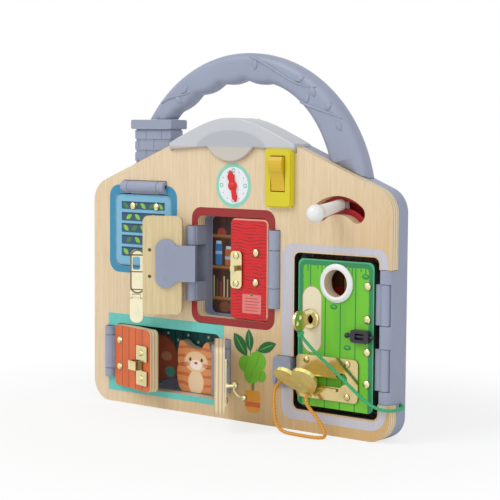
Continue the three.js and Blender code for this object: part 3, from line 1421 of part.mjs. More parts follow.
const heart = new THREE.Group();
heart.position.set(heartX, frontY, slideSlot.z);
board.add(heart);
place(heart, 'heart_slider', heartSlider(), 'brass');

const cat = new THREE.Group();
cat.position.set(catX, deepBackY - catBackGap - catThickness, kennelHole.z0 + gap);
board.add(cat);
place(cat, 'cat_figure', catFigure(), 'plywood');

const routePoints = (route) => route.map((point) => new THREE.Vector3(...point));
place(board, 'key_cord', tubeAlong(routePoints(keyCordRoute), keyCordRadius, 8, 32), 'greenCord');
place(board, 'heart_cord', tubeAlong(routePoints(heartCordRoute), heartCordRadius, 8, 40), 'orangeCord');

export default board;
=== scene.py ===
"""Looks of the wooden busy board: finishes, prints, cords, relief and the studio round it."""
import json
import math

import bmesh
import bpy
from mathutils import Matrix, Vector
from mathutils.bvhtree import BVHTree


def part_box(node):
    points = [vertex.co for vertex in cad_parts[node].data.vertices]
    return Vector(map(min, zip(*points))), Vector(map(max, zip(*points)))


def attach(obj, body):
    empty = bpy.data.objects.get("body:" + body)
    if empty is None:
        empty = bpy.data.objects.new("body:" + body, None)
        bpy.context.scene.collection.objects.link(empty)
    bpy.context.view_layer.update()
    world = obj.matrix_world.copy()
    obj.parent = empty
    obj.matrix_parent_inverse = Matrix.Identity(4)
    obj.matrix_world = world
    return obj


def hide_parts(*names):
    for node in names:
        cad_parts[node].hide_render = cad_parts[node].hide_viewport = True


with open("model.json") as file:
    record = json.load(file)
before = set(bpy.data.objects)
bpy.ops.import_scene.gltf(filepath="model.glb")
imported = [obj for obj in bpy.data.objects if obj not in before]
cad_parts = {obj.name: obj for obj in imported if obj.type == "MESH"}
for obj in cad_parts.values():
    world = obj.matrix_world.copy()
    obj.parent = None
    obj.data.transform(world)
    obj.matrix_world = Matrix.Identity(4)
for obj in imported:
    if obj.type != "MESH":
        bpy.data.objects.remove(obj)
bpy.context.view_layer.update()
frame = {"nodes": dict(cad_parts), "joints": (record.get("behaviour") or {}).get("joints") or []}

MM = 0.001
NODES = frame["nodes"]
JOINTS = {joint["name"]: joint for joint in frame["joints"]}

# Camera, fitted to the straight edges of the photo
CAMERA_PLACE = Vector((707.824, -906.824, 229.890)) * MM
CAMERA_AZIMUTH = math.radians(37.626)
CAMERA_ELEVATION = math.radians(4.665)
CAMERA_ROLL = math.radians(0.385)
CAMERA_LENS = 103.436
CAMERA_SENSOR = 36.0

# Prints: the face they lie on, their thickness and how far they stand off it, in millimetres
PANEL_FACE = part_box("front_panel")[0].y / MM
LEAF_BACK = -5.0
HINGE_BACK = -2.8
PRINT_LIFT = 0.08
PRINT_THICKNESS = 0.08

# Rest angles of the leaves that stand open, in degrees
STORE_LEFT_REST = -150.0
ORANGE_REST = -16.0
KENNEL_REST = 128.6

# Holes in the panel as left, right, bottom, top and corner radius, in millimetres
WINDOW_HOLE = (-125.6, -62.4, 117.2, 178.6, 7.0)
STORE_HOLE = (-34.6, 37.4, 81.6, 163.0, 5.0)
KENNEL_HOLE = (-124.6, -11.0, 14.6, 67.8, 5.0)
GATE_HOLE = (62.0, 139.4, 16.8, 138.6, 5.0)

# Where the hinges break the printed frames: left, right, bottom, top
STORE_LEFT_BARREL = (-47.0, -33.0, 93.0, 155.0)
STORE_RIGHT_BARREL = (36.0, 50.0, 93.0, 155.0)
ORANGE_BARREL = (-140.0, -123.0, 21.0, 65.2)
KENNEL_BARREL = (-13.0, 3.0, 21.0, 65.2)
WINDOW_BARREL = (-114.0, -71.8, 176.0, 192.0)
GATE_BLOCK = (137.0, 152.0, 29.0, 130.0)
GATE_KEEPER = (44.0, 64.0, 33.0, 57.6)

# Marks on the leaves, in millimetres
SLAT_LEFT, SLAT_RIGHT = -118.2, -70.1
SLAT_ROWS = [(171.7, 165.2), (162.5, 155.4), (153.3, 145.7), (143.4, 135.8), (133.4, 125.6)]
GREEN_JOINTS = [77.4, 91.4, 105.3, 118.8]
GREEN_OVALS = [(127.6, 123.7), (99.2, 99.1), (111.9, 69.0)]
GREEN_DRIPS = [(75.0, 5.0), (84.2, 3.4), (88.0, 6.0), (112.4, 3.6), (115.6, 6.4), (123.4, 3.2), (127.6, 8.0)]
GREEN_BORDER = 4.4
CAPSULE = (70.0, 88.3, 62.0, 113.6, 9.1)
ORANGE_JOINTS = [-112.2, -101.8, -91.4, -81.0]
STORE_BORES = ((-7.4, 113.2), (-7.4, 134.8))
HINGE_BORES = ((-22.1, 112.0), (-22.1, 136.0))
HASP = (-1.2, 11.2, 97.6, 134.0)
PORTHOLE = (101.9, 117.2)
PORTHOLE_BORE = 10.6

# Bricks of the chimney, in millimetres
BRICK_HEIGHT = 8.2
BRICK_LENGTH = 17.0
BRICK_START = -150.0
BRICK_FOOT = 150.4
BRICK_TOP = 232.0

# Cords: routes in millimetres, as in the part, with their radii
KEY_CORD_RADIUS = 1.25
KEY_CORD_ROUTE = [
    (79.4, -28.6, 78.4), (81.8, -27.6, 74.8), (85.6, -26.4, 70.4), (91, -25, 65),
    (97.6, -23.6, 59.4), (104.6, -22.4, 53.6), (111.8, -21.4, 47.8), (119, -20.6, 42),
    (126, -19.8, 36.4), (132.4, -19.2, 31.8), (138.6, -18.6, 28.6), (144.6, -17.8, 26.8),
    (150, -16.4, 26.2), (153.6, -12.6, 26.2), (155, -7.4, 26.6), (154.8, -2.4, 27),
    (152.8, 1, 27.4), (149.6, 2, 27.6), (146.8, 2, 27.6),
]
HEART_CORD_RADIUS = 1.35
HEART_CORD_ROUTE = [
    (53.3, -15.1, 37), (53.4, -19.6, 36.6), (54, -25, 33.6), (55.6, -29.2, 28), (57.2, -31.2, 21),
    (58.2, -31.8, 13.6), (59.4, -31.2, 8), (62.6, -31, 4), (67.4, -31.4, 2.1),
    (73.6, -32, 1.7), (80.6, -32.6, 1.7), (87.6, -32.9, 1.7), (94, -32.7, 1.7),
    (99, -31.6, 1.8), (101.8, -28.8, 2), (101.2, -25.8, 3), (98.4, -23.6, 6),
    (94.6, -22.4, 10.4), (90.6, -22.6, 15.2), (86.6, -23.6, 19.8), (83.4, -24.4, 24.2),
    (81.6, -23.3, 28), (81.2, -20.6, 31.1),
]

# Raised vines on the handle, as X and Z, and their leaves as X, Z and tilt in degrees
VINES = [
    [(11.0, 290.0), (17.5, 287.6), (24.8, 284.4), (38.4, 277.2), (54.7, 269.0), (64.5, 266.2), (74.6, 264.8)],
    [(59.8, 253.8), (68.4, 250.9), (81.3, 247.0), (92.4, 243.6), (98.4, 240.8)],
    [(-80.6, 254.2), (-75.0, 257.0), (-68.2, 258.8), (-60.4, 260.0), (-51.0, 261.8)],
]
VINE_LEAVES = [
    (16.6, 283.4, 84), (59.8, 271.4, 24), (72.0, 261.6, -66),
    (66.4, 256.2, 62), (86.6, 250.2, 58), (96.6, 235.8, -64),
    (-55.8, 264.6, 44), (-62.2, 256.2, -40),
]
VINE_RADIUS = 1.2
VINE_LEAF_LENGTH = 9.0
VINE_LEAF_WIDTH = 5.0


def linear(red, green, blue):
    """An sRGB colour of 0 to 255 as a linear one with alpha."""
    def one(value):
        share = value / 255
        return share / 12.92 if share <= 0.04045 else ((share + 0.055) / 1.055) ** 2.4
    return (one(red), one(green), one(blue), 1.0)


def darker(colour, share):
    return tuple(channel * share for channel in colour)


# Materials


class Graph:
    """A material's nodes, built one after the other."""

    def __init__(self, name):
        self.material = bpy.data.materials.new(name)
        self.material.use_nodes = True
        self.nodes = self.material.node_tree.nodes
        self.links = self.material.node_tree.links
        self.surface = self.nodes["Principled BSDF"]

    def feed(self, socket, value):
        if isinstance(value, bpy.types.NodeSocket):
            self.links.new(value, socket)
        elif value is not None:
            socket.default_value = value

    def add(self, kind, values, output=0, **settings):
        node = self.nodes.new(kind)
        for key, setting in settings.items():
            setattr(node, key, setting)
        for key, value in values.items():
            self.feed(node.inputs[key], value)
        return node.outputs[output]

    def math(self, operation, first, second=0.0, third=0.0, clamp=False):
        return self.add("ShaderNodeMath", {0: first, 1: second, 2: third}, operation=operation, use_clamp=clamp)

    def vector(self, operation, first, second=(0, 0, 0), output=0):
        return self.add("ShaderNodeVectorMath", {0: first, 1: second}, output, operation=operation)

    def mix(self, share, first, second, blend="MIX"):
        return self.add(
            "ShaderNodeMix", {0: share, 6: first, 7: second}, 2, data_type="RGBA", blend_type=blend)

    def step(self, value, low, high):
        return self.add(
            "ShaderNodeMapRange", {0: value, 1: low, 2: high, 3: 0.0, 4: 1.0}, interpolation_type="SMOOTHSTEP")

    def split(self, vector):
        node = self.nodes.new("ShaderNodeSeparateXYZ")
        self.feed(node.inputs[0], vector)
        return list(node.outputs)

    def place(self, turn=None):
        """Where a point lies in the row frame, in millimetres, turned back to the leaf's closed place."""
        where = self.vector("SCALE", self.nodes.new("ShaderNodeTexCoord").outputs["Object"])
        where.node.inputs["Scale"].default_value = 1 / MM
        return self.turned(where, turn, False)

    def normal(self, turn=None):
        return self.turned(self.nodes.new("ShaderNodeTexCoord").outputs["Normal"], turn, True)

    def turned(self, vector, turn, only_direction):
        if turn is None:
            return vector
        centre, degrees = turn
        middle = (0, 0, 0) if only_direction else centre
        return self.add(
            "ShaderNodeVectorRotate", {"Vector": vector, "Center": middle, "Angle": math.radians(-degrees)},
            rotation_type="Z_AXIS")

    def noise(self, vector, scale, detail=3.0, rough=0.5, output="Fac"):
        node = self.nodes.new("ShaderNodeTexNoise")
        self.feed(node.inputs["Vector"], vector)
        node.inputs["Scale"].default_value = scale
        node.inputs["Detail"].default_value = detail
        node.inputs["Roughness"].default_value = rough
        return node.outputs[output]

    def stretch(self, vector, scales):
        return self.vector("MULTIPLY", vector, scales)

    def bump(self, height, distance, strength=0.5):
        return self.add(
            "ShaderNodeBump", {"Height": height, "Distance": distance, "Strength": strength})

    def box_off(self, across, up, box, corner=0.0):
        """How far a point lies outside a rounded box, in millimetres; negative inside it."""
        x0, x1, z0, z1 = box
        from_x = self.math("ABSOLUTE", self.math("SUBTRACT", across, (x0 + x1) / 2))
        from_z = self.math("ABSOLUTE", self.math("SUBTRACT", up, (z0 + z1) / 2))
        over_x = self.math("SUBTRACT", from_x, (x1 - x0) / 2 - corner)
        over_z = self.math("SUBTRACT", from_z, (z1 - z0) / 2 - corner)
        out_x, out_z = self.math("MAXIMUM", over_x, 0.0), self.math("MAXIMUM", over_z, 0.0)
        squares = self.math("ADD", self.math("MULTIPLY", out_x, out_x), self.math("MULTIPLY", out_z, out_z))
        inside = self.math("MINIMUM", self.math("MAXIMUM", over_x, over_z), 0.0)
        return self.math("SUBTRACT", self.math("ADD", self.math("SQRT", squares), inside), corner)

    def oval_off(self, across, up, centre, wide, high):
        """About how far a point lies outside an oval of these half widths, in millimetres."""
        x = self.math("DIVIDE", self.math("SUBTRACT", across, centre[0]), wide)
        z = self.math("DIVIDE", self.math("SUBTRACT", up, centre[1]), high)
        squares = self.math("ADD", self.math("MULTIPLY", x, x), self.math("MULTIPLY", z, z))
        return self.math("MULTIPLY", self.math("SUBTRACT", self.math("SQRT", squares), 1.0), min(wide, high))

    def paint(self, base, off, colour, soft=0.25):
        """A colour laid wherever the distance is below zero."""
        return self.mix(self.step(off, soft, -soft), base, linear(*colour))

    def outline(self, base, off, width, colour, soft=0.2):
        """A line along the edge of a shape, just inside it."""
        near = self.math("ABSOLUTE", self.math("ADD", off, width / 2))
        return self.mix(self.step(near, width / 2 + soft, width / 2 - soft), base, linear(*colour))

    def finish(self, colour, roughness, metallic=0.0, normal=None, **others):
        self.feed(self.surface.inputs["Base Color"], colour)
        self.feed(self.surface.inputs["Roughness"], roughness)
        self.feed(self.surface.inputs["Metallic"], metallic)
        self.feed(self.surface.inputs["Normal"], normal)
        for key, value in others.items():
            self.feed(self.surface.inputs[key.replace("_", " ")], value)
        return self.material


def grain(graph, where, along):
    """Streaks of wood along X or Z, from 0 to 1."""
    scales = (0.022, 0.3, 0.5) if along == "x" else (0.5, 0.3, 0.022)
    warp = graph.noise(graph.stretch(where, (0.014, 0.014, 0.014)), 1.0, 2.0)
    bent = graph.vector("ADD", graph.stretch(where, scales), graph.vector("SCALE", warp))
    return graph.noise(bent, 1.0, 4.0, 0.6)


def ply_edge(graph, where, normal):
    """Layers of ply across the thickness, and how far a face is from the two broad ones."""
    across = graph.split(where)[1]
    wavy = graph.math("MULTIPLY_ADD", graph.noise(graph.stretch(where, (0.05, 0.05, 0.05)), 1.0, 2.0), 0.8, across)
    layers = graph.math("SINE", graph.math("MULTIPLY", wavy, 2 * math.pi / 2.9))
    facing = graph.math("ABSOLUTE", graph.split(normal)[1])
    return layers, graph.step(facing, 0.8, 0.5)


def wood(name, pale=(228, 207, 170), deep=(214, 184, 136), paint=None, turn=None, along="z", marks=None,
         warm=0.0, rims=((237, 222, 188), (206, 178, 136), (190, 158, 112))):
    """Plywood with layered edges; its front face may carry paint, with marks drawn by a function."""
    graph = Graph(name)
    where, normal = graph.place(turn), graph.normal(turn)
    across, _, up = graph.split(where)
    streak = grain(graph, where, along)
    fine = graph.noise(graph.stretch(where, (1.6, 0.8, 0.05) if along == "z" else (0.05, 0.8, 1.6)), 1.0, 3.0, 0.7)
    share = graph.step(streak, 0.3, 0.72)
    if warm:
        slope = graph.math("MULTIPLY_ADD", across, warm / 300, 0.5)
        drift = graph.math("MULTIPLY_ADD", up, -warm / 260, slope, clamp=True)
        share = graph.math("MULTIPLY_ADD", share, 0.3, drift, clamp=True)
    face = graph.mix(share, linear(*pale), linear(*deep))
    face = graph.mix(graph.math("MULTIPLY", graph.step(fine, 0.46, 0.72), 0.3), face, linear(*darker(deep, 0.9)))
    height = graph.math("MULTIPLY", fine, 0.12)
    if paint is not None:
        front = graph.step(graph.split(normal)[1], -0.55, -0.8)
        shade = graph.math("MULTIPLY", fine, 0.2)
        tint = graph.mix(shade, linear(*paint), linear(*darker(paint, 0.8)))
        if marks is not None:
            tint, height = marks(graph, where, tint, height)
        face = graph.mix(front, face, tint)
    elif marks is not None:
        face, height = marks(graph, where, face, height)
    layers, edge = ply_edge(graph, where, normal)
    rim = graph.mix(graph.step(layers, -0.1, 0.7), linear(*rims[0]), linear(*rims[1]))
    rim = graph.mix(graph.math("MULTIPLY", fine, 0.25), rim, linear(*rims[2]))
    colour = graph.mix(edge, face, rim)
    rough = graph.math("MULTIPLY_ADD", streak, 0.12, 0.42)
    return graph.finish(colour, rough, normal=graph.bump(height, 0.3 * MM, 0.3))


def plastic(name, colour, roughness=0.42, grit=0.35, shade=0.93, marks=None, **others):
    """Moulded plastic: a fine grain in its surface and a slow drift in its colour."""
    graph = Graph(name)
    where = graph.place()
    drift = graph.noise(where, 0.03, 2.0)
    fine = graph.noise(where, 2.2, 3.0)
    tint = graph.mix(drift, linear(*colour), linear(*darker(colour, shade)))
    height = graph.math("MULTIPLY", fine, 0.05)
    if marks is not None:
        tint, height = marks(graph, where, tint, height)
    rough = graph.math("MULTIPLY_ADD", fine, 0.08, roughness - 0.04)
    return graph.finish(tint, rough, normal=graph.bump(height, 1.0 * MM, grit), **others)


def metal(name, colour, roughness=0.2, brushed=(0.05, 0.6, 0.05), tarnish_share=0.35, rim=0.75, turn=None,
          marks=None):
    """Sheet or turned metal: soft streaks in its sheen, slight tarnish, and painted shade with dark reflection on the
    sides that turn away from the front.
    """
    graph = Graph(name)
    where = graph.place(turn)
    streak = graph.noise(graph.stretch(where, brushed), 3.0, 4.0)
    tarnish = graph.step(graph.noise(where, 0.12, 3.0), 0.4, 0.75)
    tint = graph.mix(graph.math("MULTIPLY", tarnish, tarnish_share), linear(*colour), linear(*darker(colour, 0.8)))
    # painted shade and dark reflection: faces that turn away from the front get a darker colour, as much as rim says
    facing = graph.math("ABSOLUTE", graph.split(graph.normal(turn))[1])
    if marks is not None:
        tint = marks(graph, where, tint, 0.0)[0]
    side = graph.math("MULTIPLY", graph.step(facing, 0.86, 0.3), rim)
    tint = graph.mix(side, tint, linear(*darker(colour, 0.42)))
    rough = graph.math("MULTIPLY_ADD", streak, 0.14, roughness - 0.05)
    return graph.finish(tint, rough, 1.0, graph.bump(streak, 0.02 * MM, 0.3))


def braid(name, colour, pitch=2.6):
    """Braided cord: two sets of strands that cross, from the tube's own lengths along and around, with painted shade
    where the strands dip.
    """
    graph = Graph(name)
    along, around, _ = graph.split(graph.nodes.new("ShaderNodeTexCoord").outputs["UV"])
    turns = graph.math("MULTIPLY", along, 2 * math.pi / (pitch * MM))
    spin = graph.math("MULTIPLY", around, 4 * math.pi)
    one = graph.math("SINE", graph.math("ADD", turns, spin))
    two = graph.math("SINE", graph.math("SUBTRACT", turns, spin))
    weave = graph.math("MAXIMUM", one, two)
    # painted shade: the colour is darker where the weave dips between the strands
    share = graph.step(weave, -0.4, 0.7)
    tint = graph.mix(share, linear(*darker(colour, 0.86)), linear(*colour))
    return graph.finish(tint, 0.6, normal=graph.bump(weave, 0.1 * MM, 0.4))


def ink(name, colour, turn=None, draw=None):
    """Printed ink over the wood's faint grain; a function may draw more shapes in it."""
    graph = Graph(name)
    where = graph.place(turn)
    across, _, up = graph.split(where)
    fine = graph.noise(graph.stretch(where, (1.4, 0.8, 0.06)), 1.0, 3.0, 0.7)
    base = linear(*colour)
    if draw is not None:
        base = draw(graph, across, up, base)
    worn = graph.mix(graph.math("MULTIPLY", graph.step(fine, 0.4, 0.75), 0.14), base, linear(*darker(colour, 0.62)))
    return graph.finish(worn, graph.math("MULTIPLY_ADD", fine, 0.1, 0.42), normal=graph.bump(fine, 0.05 * MM, 0.2))


def hinge_turn(joint, degrees):
    place = Vector(JOINTS[joint]["pos_m"]) / MM
    return ((place.x, place.y, 0.0), degrees)


STORE_LEFT = hinge_turn("store_left_close", STORE_LEFT_REST)
ORANGE = hinge_turn("orange_open", ORANGE_REST)
KENNEL = hinge_turn("kennel_close", KENNEL_REST)


def face_box(node):
    """Left, right, bottom and top of a closed leaf, in millimetres."""
    low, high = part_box(node)
    return (low.x / MM, high.x / MM, low.z / MM, high.z / MM)


# Marks that are drawn in the paint of a leaf


def joint_lines(graph, value, places, width, tint, height, dark):
    """Grooves at places along one coordinate: a darker line and a dip."""
    groove = None
    for place in places:
        off = graph.math("ABSOLUTE", graph.math("SUBTRACT", value, place))
        line = graph.step(off, width, width * 0.4)
        groove = line if groove is None else graph.math("MAXIMUM", groove, line)
    return graph.mix(groove, tint, linear(*dark)), graph.math("MULTIPLY_ADD", groove, -0.5, height)


def slat_marks(graph, where, tint, height):
    """Shutter: a pale frame and five dark rows between its slats."""
    across, _, up = graph.split(where)
    x0, x1, z0, z1 = face_box("window_flap")
    rim = graph.box_off(across, up, (x0, x1, z0, z1), 6.0)
    tint = graph.mix(graph.step(rim, -1.8, -0.6), tint, linear(104, 162, 192))
    for top, bottom in SLAT_ROWS:
        row = graph.box_off(across, up, (SLAT_LEFT, SLAT_RIGHT, bottom, top), 0.9)
        tint = graph.paint(tint, row, (48, 84, 112), 0.3)
        shade = graph.box_off(across, up, (SLAT_LEFT, SLAT_RIGHT, top - 1.2, top), 0.3)
        tint = graph.paint(tint, shade, (30, 52, 84), 0.4)
        height = graph.math("MULTIPLY_ADD", graph.step(row, 0.3, -0.3), -0.5, height)
    return tint, height


def board_marks(graph, where, tint, height):
    """Fine wavy grain painted across the red leaf, and a bare edge at its right and top."""
    across, _, up = graph.split(where)
    sway = graph.noise(graph.stretch(where, (0.05, 0.0, 0.05)), 1.0, 2.0)
    patch = graph.noise(graph.stretch(where, (0.09, 0.0, 0.9)), 1.0, 2.0)
    rows = graph.math("MULTIPLY_ADD", sway, 7.0, up)
    wave = graph.math("SINE", graph.math("MULTIPLY", rows, 2 * math.pi / 2.5))
    line = graph.math("MULTIPLY", graph.step(wave, 0.3, 0.9), graph.step(patch, 0.34, 0.56))
    tint = graph.mix(graph.math("MULTIPLY", line, 0.85), tint, linear(126, 14, 24))
    x0, x1, z0, z1 = face_box("store_door_right")
    edge = graph.box_off(across, up, (x0 - 9.0, x1, z0 - 9.0, z1), 4.5)
    tint = graph.mix(graph.step(edge, -1.5, -0.9), tint, linear(232, 150, 128))
    return tint, graph.math("MULTIPLY_ADD", line, -0.3, height)


def orange_marks(graph, where, tint, height):
    """Upright planks on the orange leaf, in two close shades."""
    across, _, up = graph.split(where)
    shade = graph.noise(graph.stretch(where, (0.09, 0.0, 0.0)), 1.0, 0.0)
    tint = graph.mix(graph.math("MULTIPLY", graph.step(shade, 0.4, 0.6), 0.4), tint, linear(200, 88, 36))
    return joint_lines(graph, across, ORANGE_JOINTS, 0.6, tint, height, (140, 52, 24))


def green_marks(graph, where, tint, height):
    """Gate: planks, a dark border with drips, three knots and the cream lock panel."""
    across, _, up = graph.split(where)
    shade = graph.noise(graph.stretch(where, (0.06, 0.0, 0.01)), 1.0, 2.0)
    tint = graph.mix(graph.math("MULTIPLY", graph.step(shade, 0.36, 0.64), 0.6), tint, linear(88, 178, 42))
    tint, height = joint_lines(graph, across, GREEN_JOINTS, 0.62, tint, height, (38, 120, 52))
    dark = (40, 132, 82)
    x0, x1, z0, z1 = face_box("green_door")
    for x, drop in GREEN_DRIPS:
        drip = graph.box_off(across, up, (x - 0.45, x + 0.45, z1 - GREEN_BORDER - drop, z1), 0.4)
        tint = graph.paint(tint, drip, (46, 126, 52), 0.3)
    edge = graph.box_off(across, up, (x0, x1, z0 - 30.0, z1), 6.8)
    rough_edge = graph.math("MULTIPLY_ADD", graph.noise(where, 0.35, 2.0), 1.2, edge)
    tint = graph.mix(graph.step(rough_edge, -GREEN_BORDER, -GREEN_BORDER + 0.7), tint, linear(*dark))
    tint = graph.mix(graph.step(edge, -1.3, -0.7), tint, linear(74, 172, 118))
    for x, z in GREEN_OVALS:
        knot = graph.oval_off(across, up, (x, z), 3.3, 2.0)
        tint = graph.paint(tint, knot, (36, 124, 60))
        tint = graph.paint(tint, graph.oval_off(across, up, (x - 0.2, z + 0.3), 1.9, 1.0), (84, 176, 66))
    x0, x1, z0, z1, corner = CAPSULE
    panel = graph.box_off(across, up, (x0, x1, z0, z1), corner)
    tint = graph.paint(tint, panel, (232, 220, 190))
    tint = graph.outline(tint, panel, 0.55, (150, 128, 74))
    return tint, height


def hasp_marks(graph, where, tint, height):
    """Pressed hasp: painted shade and dark reflection along the folds round its cover, across its loop and at the tab's
    hinge.
    """
    across, _, up = graph.split(where)
    x0, x1, z0, z1 = HASP
    cover = graph.box_off(across, up, (x0, x1, z0, z1), 6.0)
    # dark olive lines: painted shade and reflection along the folds
    tint = graph.outline(tint, cover, 1.3, (112, 96, 52), 0.5)
    for place, width in [(115.6, 0.7), (129.4, 0.9), (101.0, 0.7)]:
        fold = graph.math("ABSOLUTE", graph.math("SUBTRACT", up, place))
        tint = graph.mix(graph.step(fold, width, width * 0.3), tint, linear(112, 96, 50))
    return tint, height


def cat_marks(graph, where, tint, height):
    """Cat figure: a plain tabby with a pale muzzle and chest, drawn inside a bare wooden rim."""
    across, _, up = graph.split(where)
    x0, x1, z0, z1 = face_box("cat_figure")
    wide, tall = x1 - x0, z1 - z0
    middle = (x0 + x1) / 2

    def at(right_share, up_share):
        return (middle + right_share * wide, z0 + up_share * tall)

    bent = graph.math("MULTIPLY_ADD", graph.noise(where, 0.1, 2.0), 5.0, up)
    stripe = graph.math("SINE", graph.math("MULTIPLY", bent, 2 * math.pi / 7.5))
    tint = graph.mix(graph.math("MULTIPLY", graph.step(stripe, 0.35, 0.7), 0.75), tint, linear(196, 96, 50))
    chest = graph.oval_off(across, up, at(0.0, 0.2), wide * 0.2, tall * 0.24)
    tint = graph.paint(tint, chest, (244, 214, 176), 0.5)
    face = graph.oval_off(across, up, at(0.0, 0.6), wide * 0.3, tall * 0.2)
    tint = graph.paint(tint, face, (243, 206, 160), 0.6)
    muzzle = graph.oval_off(across, up, at(0.0, 0.54), wide * 0.15, tall * 0.1)
    tint = graph.paint(tint, muzzle, (252, 240, 222), 0.4)
    nose = graph.oval_off(across, up, at(0.0, 0.575), 1.7, 1.1)
    tint = graph.paint(tint, nose, (190, 70, 60))
    for side in (-1, 1):
        eye = graph.oval_off(across, up, at(side * 0.15, 0.64), 1.2, 1.6)
        tint = graph.paint(tint, eye, (70, 46, 38))
        cheek = graph.oval_off(across, up, at(side * 0.24, 0.54), 2.6, 1.8)
        tint = graph.paint(tint, cheek, (232, 140, 110), 0.8)
        for lift in (0.5, 0.55):
            x, z = at(side * 0.33, lift)
            whisker = graph.box_off(across, up, (x - 3.2, x + 3.2, z - 0.25, z + 0.25), 0.2)
            tint = graph.paint(tint, whisker, (120, 70, 44))
    return tint, height


def ring_marks(graph, where, tint, height):
    """Porthole: a white ring with a cream bore."""
    across, _, up = graph.split(where)
    bore = graph.oval_off(across, up, PORTHOLE, PORTHOLE_BORE, PORTHOLE_BORE)
    return graph.paint(tint, bore, (220, 202, 176), 0.2), height


def brick_marks(graph, where, tint, height):
    """Thin upright joints on the chimney, staggered from course to course."""
    across, _, up = graph.split(where)
    course = graph.math("FLOOR", graph.math("DIVIDE", graph.math("SUBTRACT", up, BRICK_FOOT), BRICK_HEIGHT))
    shift = graph.math("MULTIPLY", graph.math("MODULO", course, 2.0), BRICK_LENGTH / 2)
    along = graph.math("MODULO", graph.math("ADD", graph.math("SUBTRACT", across, BRICK_START), shift), BRICK_LENGTH)
    near = graph.math("ABSOLUTE", graph.math("SUBTRACT", along, BRICK_LENGTH / 2))
    line = graph.math("MULTIPLY", graph.step(near, 0.55, 0.25), graph.step(up, BRICK_TOP, BRICK_TOP - 0.4))
    return graph.mix(graph.math("MULTIPLY", line, 0.6), tint, linear(92, 98, 116)), graph.math(
        "MULTIPLY_ADD", line, -0.6, height)


def lens_marks(graph, where, tint, height):
    """Frosted cap: paler towards its outer arch, with an inner arch and the light's disc in it."""
    across, _, up = graph.split(where)
    arch = graph.oval_off(across, up, (1.0, 214.0), 38.0, 18.6)
    tint = graph.mix(graph.math("MULTIPLY", graph.step(arch, 0.5, -0.5), 0.7), tint, linear(168, 172, 181))
    tint = graph.outline(tint, arch, 0.8, (192, 196, 202), 0.6)
    rim = graph.step(up, 219.4, 217.6)
    tint = graph.mix(rim, tint, linear(196, 190, 180))
    disc = graph.oval_off(across, up, (0.0, 235.5), 28.7, 28.7)
    edge = graph.math("MULTIPLY", graph.step(disc, -1.6, -0.6), rim)
    return graph.mix(graph.math("MULTIPLY", edge, 0.7), tint, linear(176, 168, 158)), height


# Pictures behind the openings: plain motifs of the builder's own, in the colours of the photo's


def draw_shelves(graph, across, up, base):
    """Larder: dark planks, three ochre shelves, jars and thin upright boards."""
    plank = graph.math("SINE", graph.math("MULTIPLY", across, 2 * math.pi / 13.0))
    base = graph.mix(graph.step(plank, 0.2, 0.9), base, linear(84, 40, 28))
    for number in range(8):
        x = -32.4 + number * 3.5
        colour = [(186, 172, 108), (70, 92, 66), (158, 60, 44), (206, 188, 150)][number % 4]
        top = 113.0 - 2.2 * (number % 3)
        base = graph.paint(base, graph.box_off(across, up, (x, x + 1.3, 96.0, top), 0.3), colour)
    for x, top, wide, colour in [(-27.0, 140.0, 3.4, (62, 122, 178)), (-16.0, 136.0, 4.4, (176, 96, 52)),
                                 (-5.5, 138.0, 3.0, (96, 134, 92)), (14.0, 139.0, 4.0, (62, 122, 178))]:
        base = graph.paint(base, graph.box_off(across, up, (x - wide, x + wide, 122.0, top), 1.4), colour)
        lid = graph.box_off(across, up, (x - wide * 0.8, x + wide * 0.8, top - 0.6, top + 1.8), 0.5)
        base = graph.paint(base, lid, (188, 214, 226))
        band = graph.box_off(across, up, (x - wide, x + wide, top - 9.0, top - 6.6), 0.2)
        base = graph.paint(base, band, (150, 190, 216))
    for x, wide in [(-24.0, 4.6), (-9.0, 3.6), (12.0, 5.0)]:
        base = graph.paint(base, graph.oval_off(across, up, (x, 148.6), wide, 4.0), (168, 66, 46))
    for x, wide in [(-4.0, 5.0), (14.0, 6.0), (-20.0, 6.0)]:
        base = graph.paint(base, graph.oval_off(across, up, (x, 88.0), wide, 4.4), (120, 70, 38))
    for height in (93.0, 118.6, 144.0):
        base = graph.paint(base, graph.box_off(across, up, (-60.0, 60.0, height, height + 3.0), 0.2), (160, 108, 50))
        base = graph.paint(base, graph.box_off(across, up, (-60.0, 60.0, height, height + 0.9), 0.2), (96, 58, 28))
    return base


def draw_den(graph, across, up, base):
    """Cosy den: dark teal planks, pale dots, a terracotta cushion and a grey rug."""
    plank = graph.math("SINE", graph.math("MULTIPLY", across, 2 * math.pi / 8.0))
    base = graph.mix(graph.step(plank, 0.86, 0.98), base, linear(12, 52, 58))
    for number in range(9):
        x = -108.0 + number * 11.0
        z = 60.0 - 5.0 * (number % 2)
        base = graph.paint(base, graph.oval_off(across, up, (x, z), 1.2, 1.2), (186, 226, 218))
    cushion = graph.oval_off(across, up, (-94.0, 34.0), 20.0, 25.0)
    base = graph.paint(base, cushion, (176, 92, 66), 0.5)
    base = graph.outline(base, cushion, 1.2, (128, 62, 46), 0.4)
    base = graph.paint(base, graph.oval_off(across, up, (-88.0, 40.0), 6.0, 4.0), (204, 142, 112), 0.5)
    base = graph.paint(base, graph.oval_off(across, up, (-84.0, 27.0), 5.4, 4.4), (84, 178, 158), 0.5)
    rug = graph.oval_off(across, up, (-74.0, 14.0), 24.0, 8.6)
    base = graph.paint(base, rug, (126, 128, 150), 0.5)
    return graph.outline(base, rug, 1.0, (92, 94, 116), 0.4)


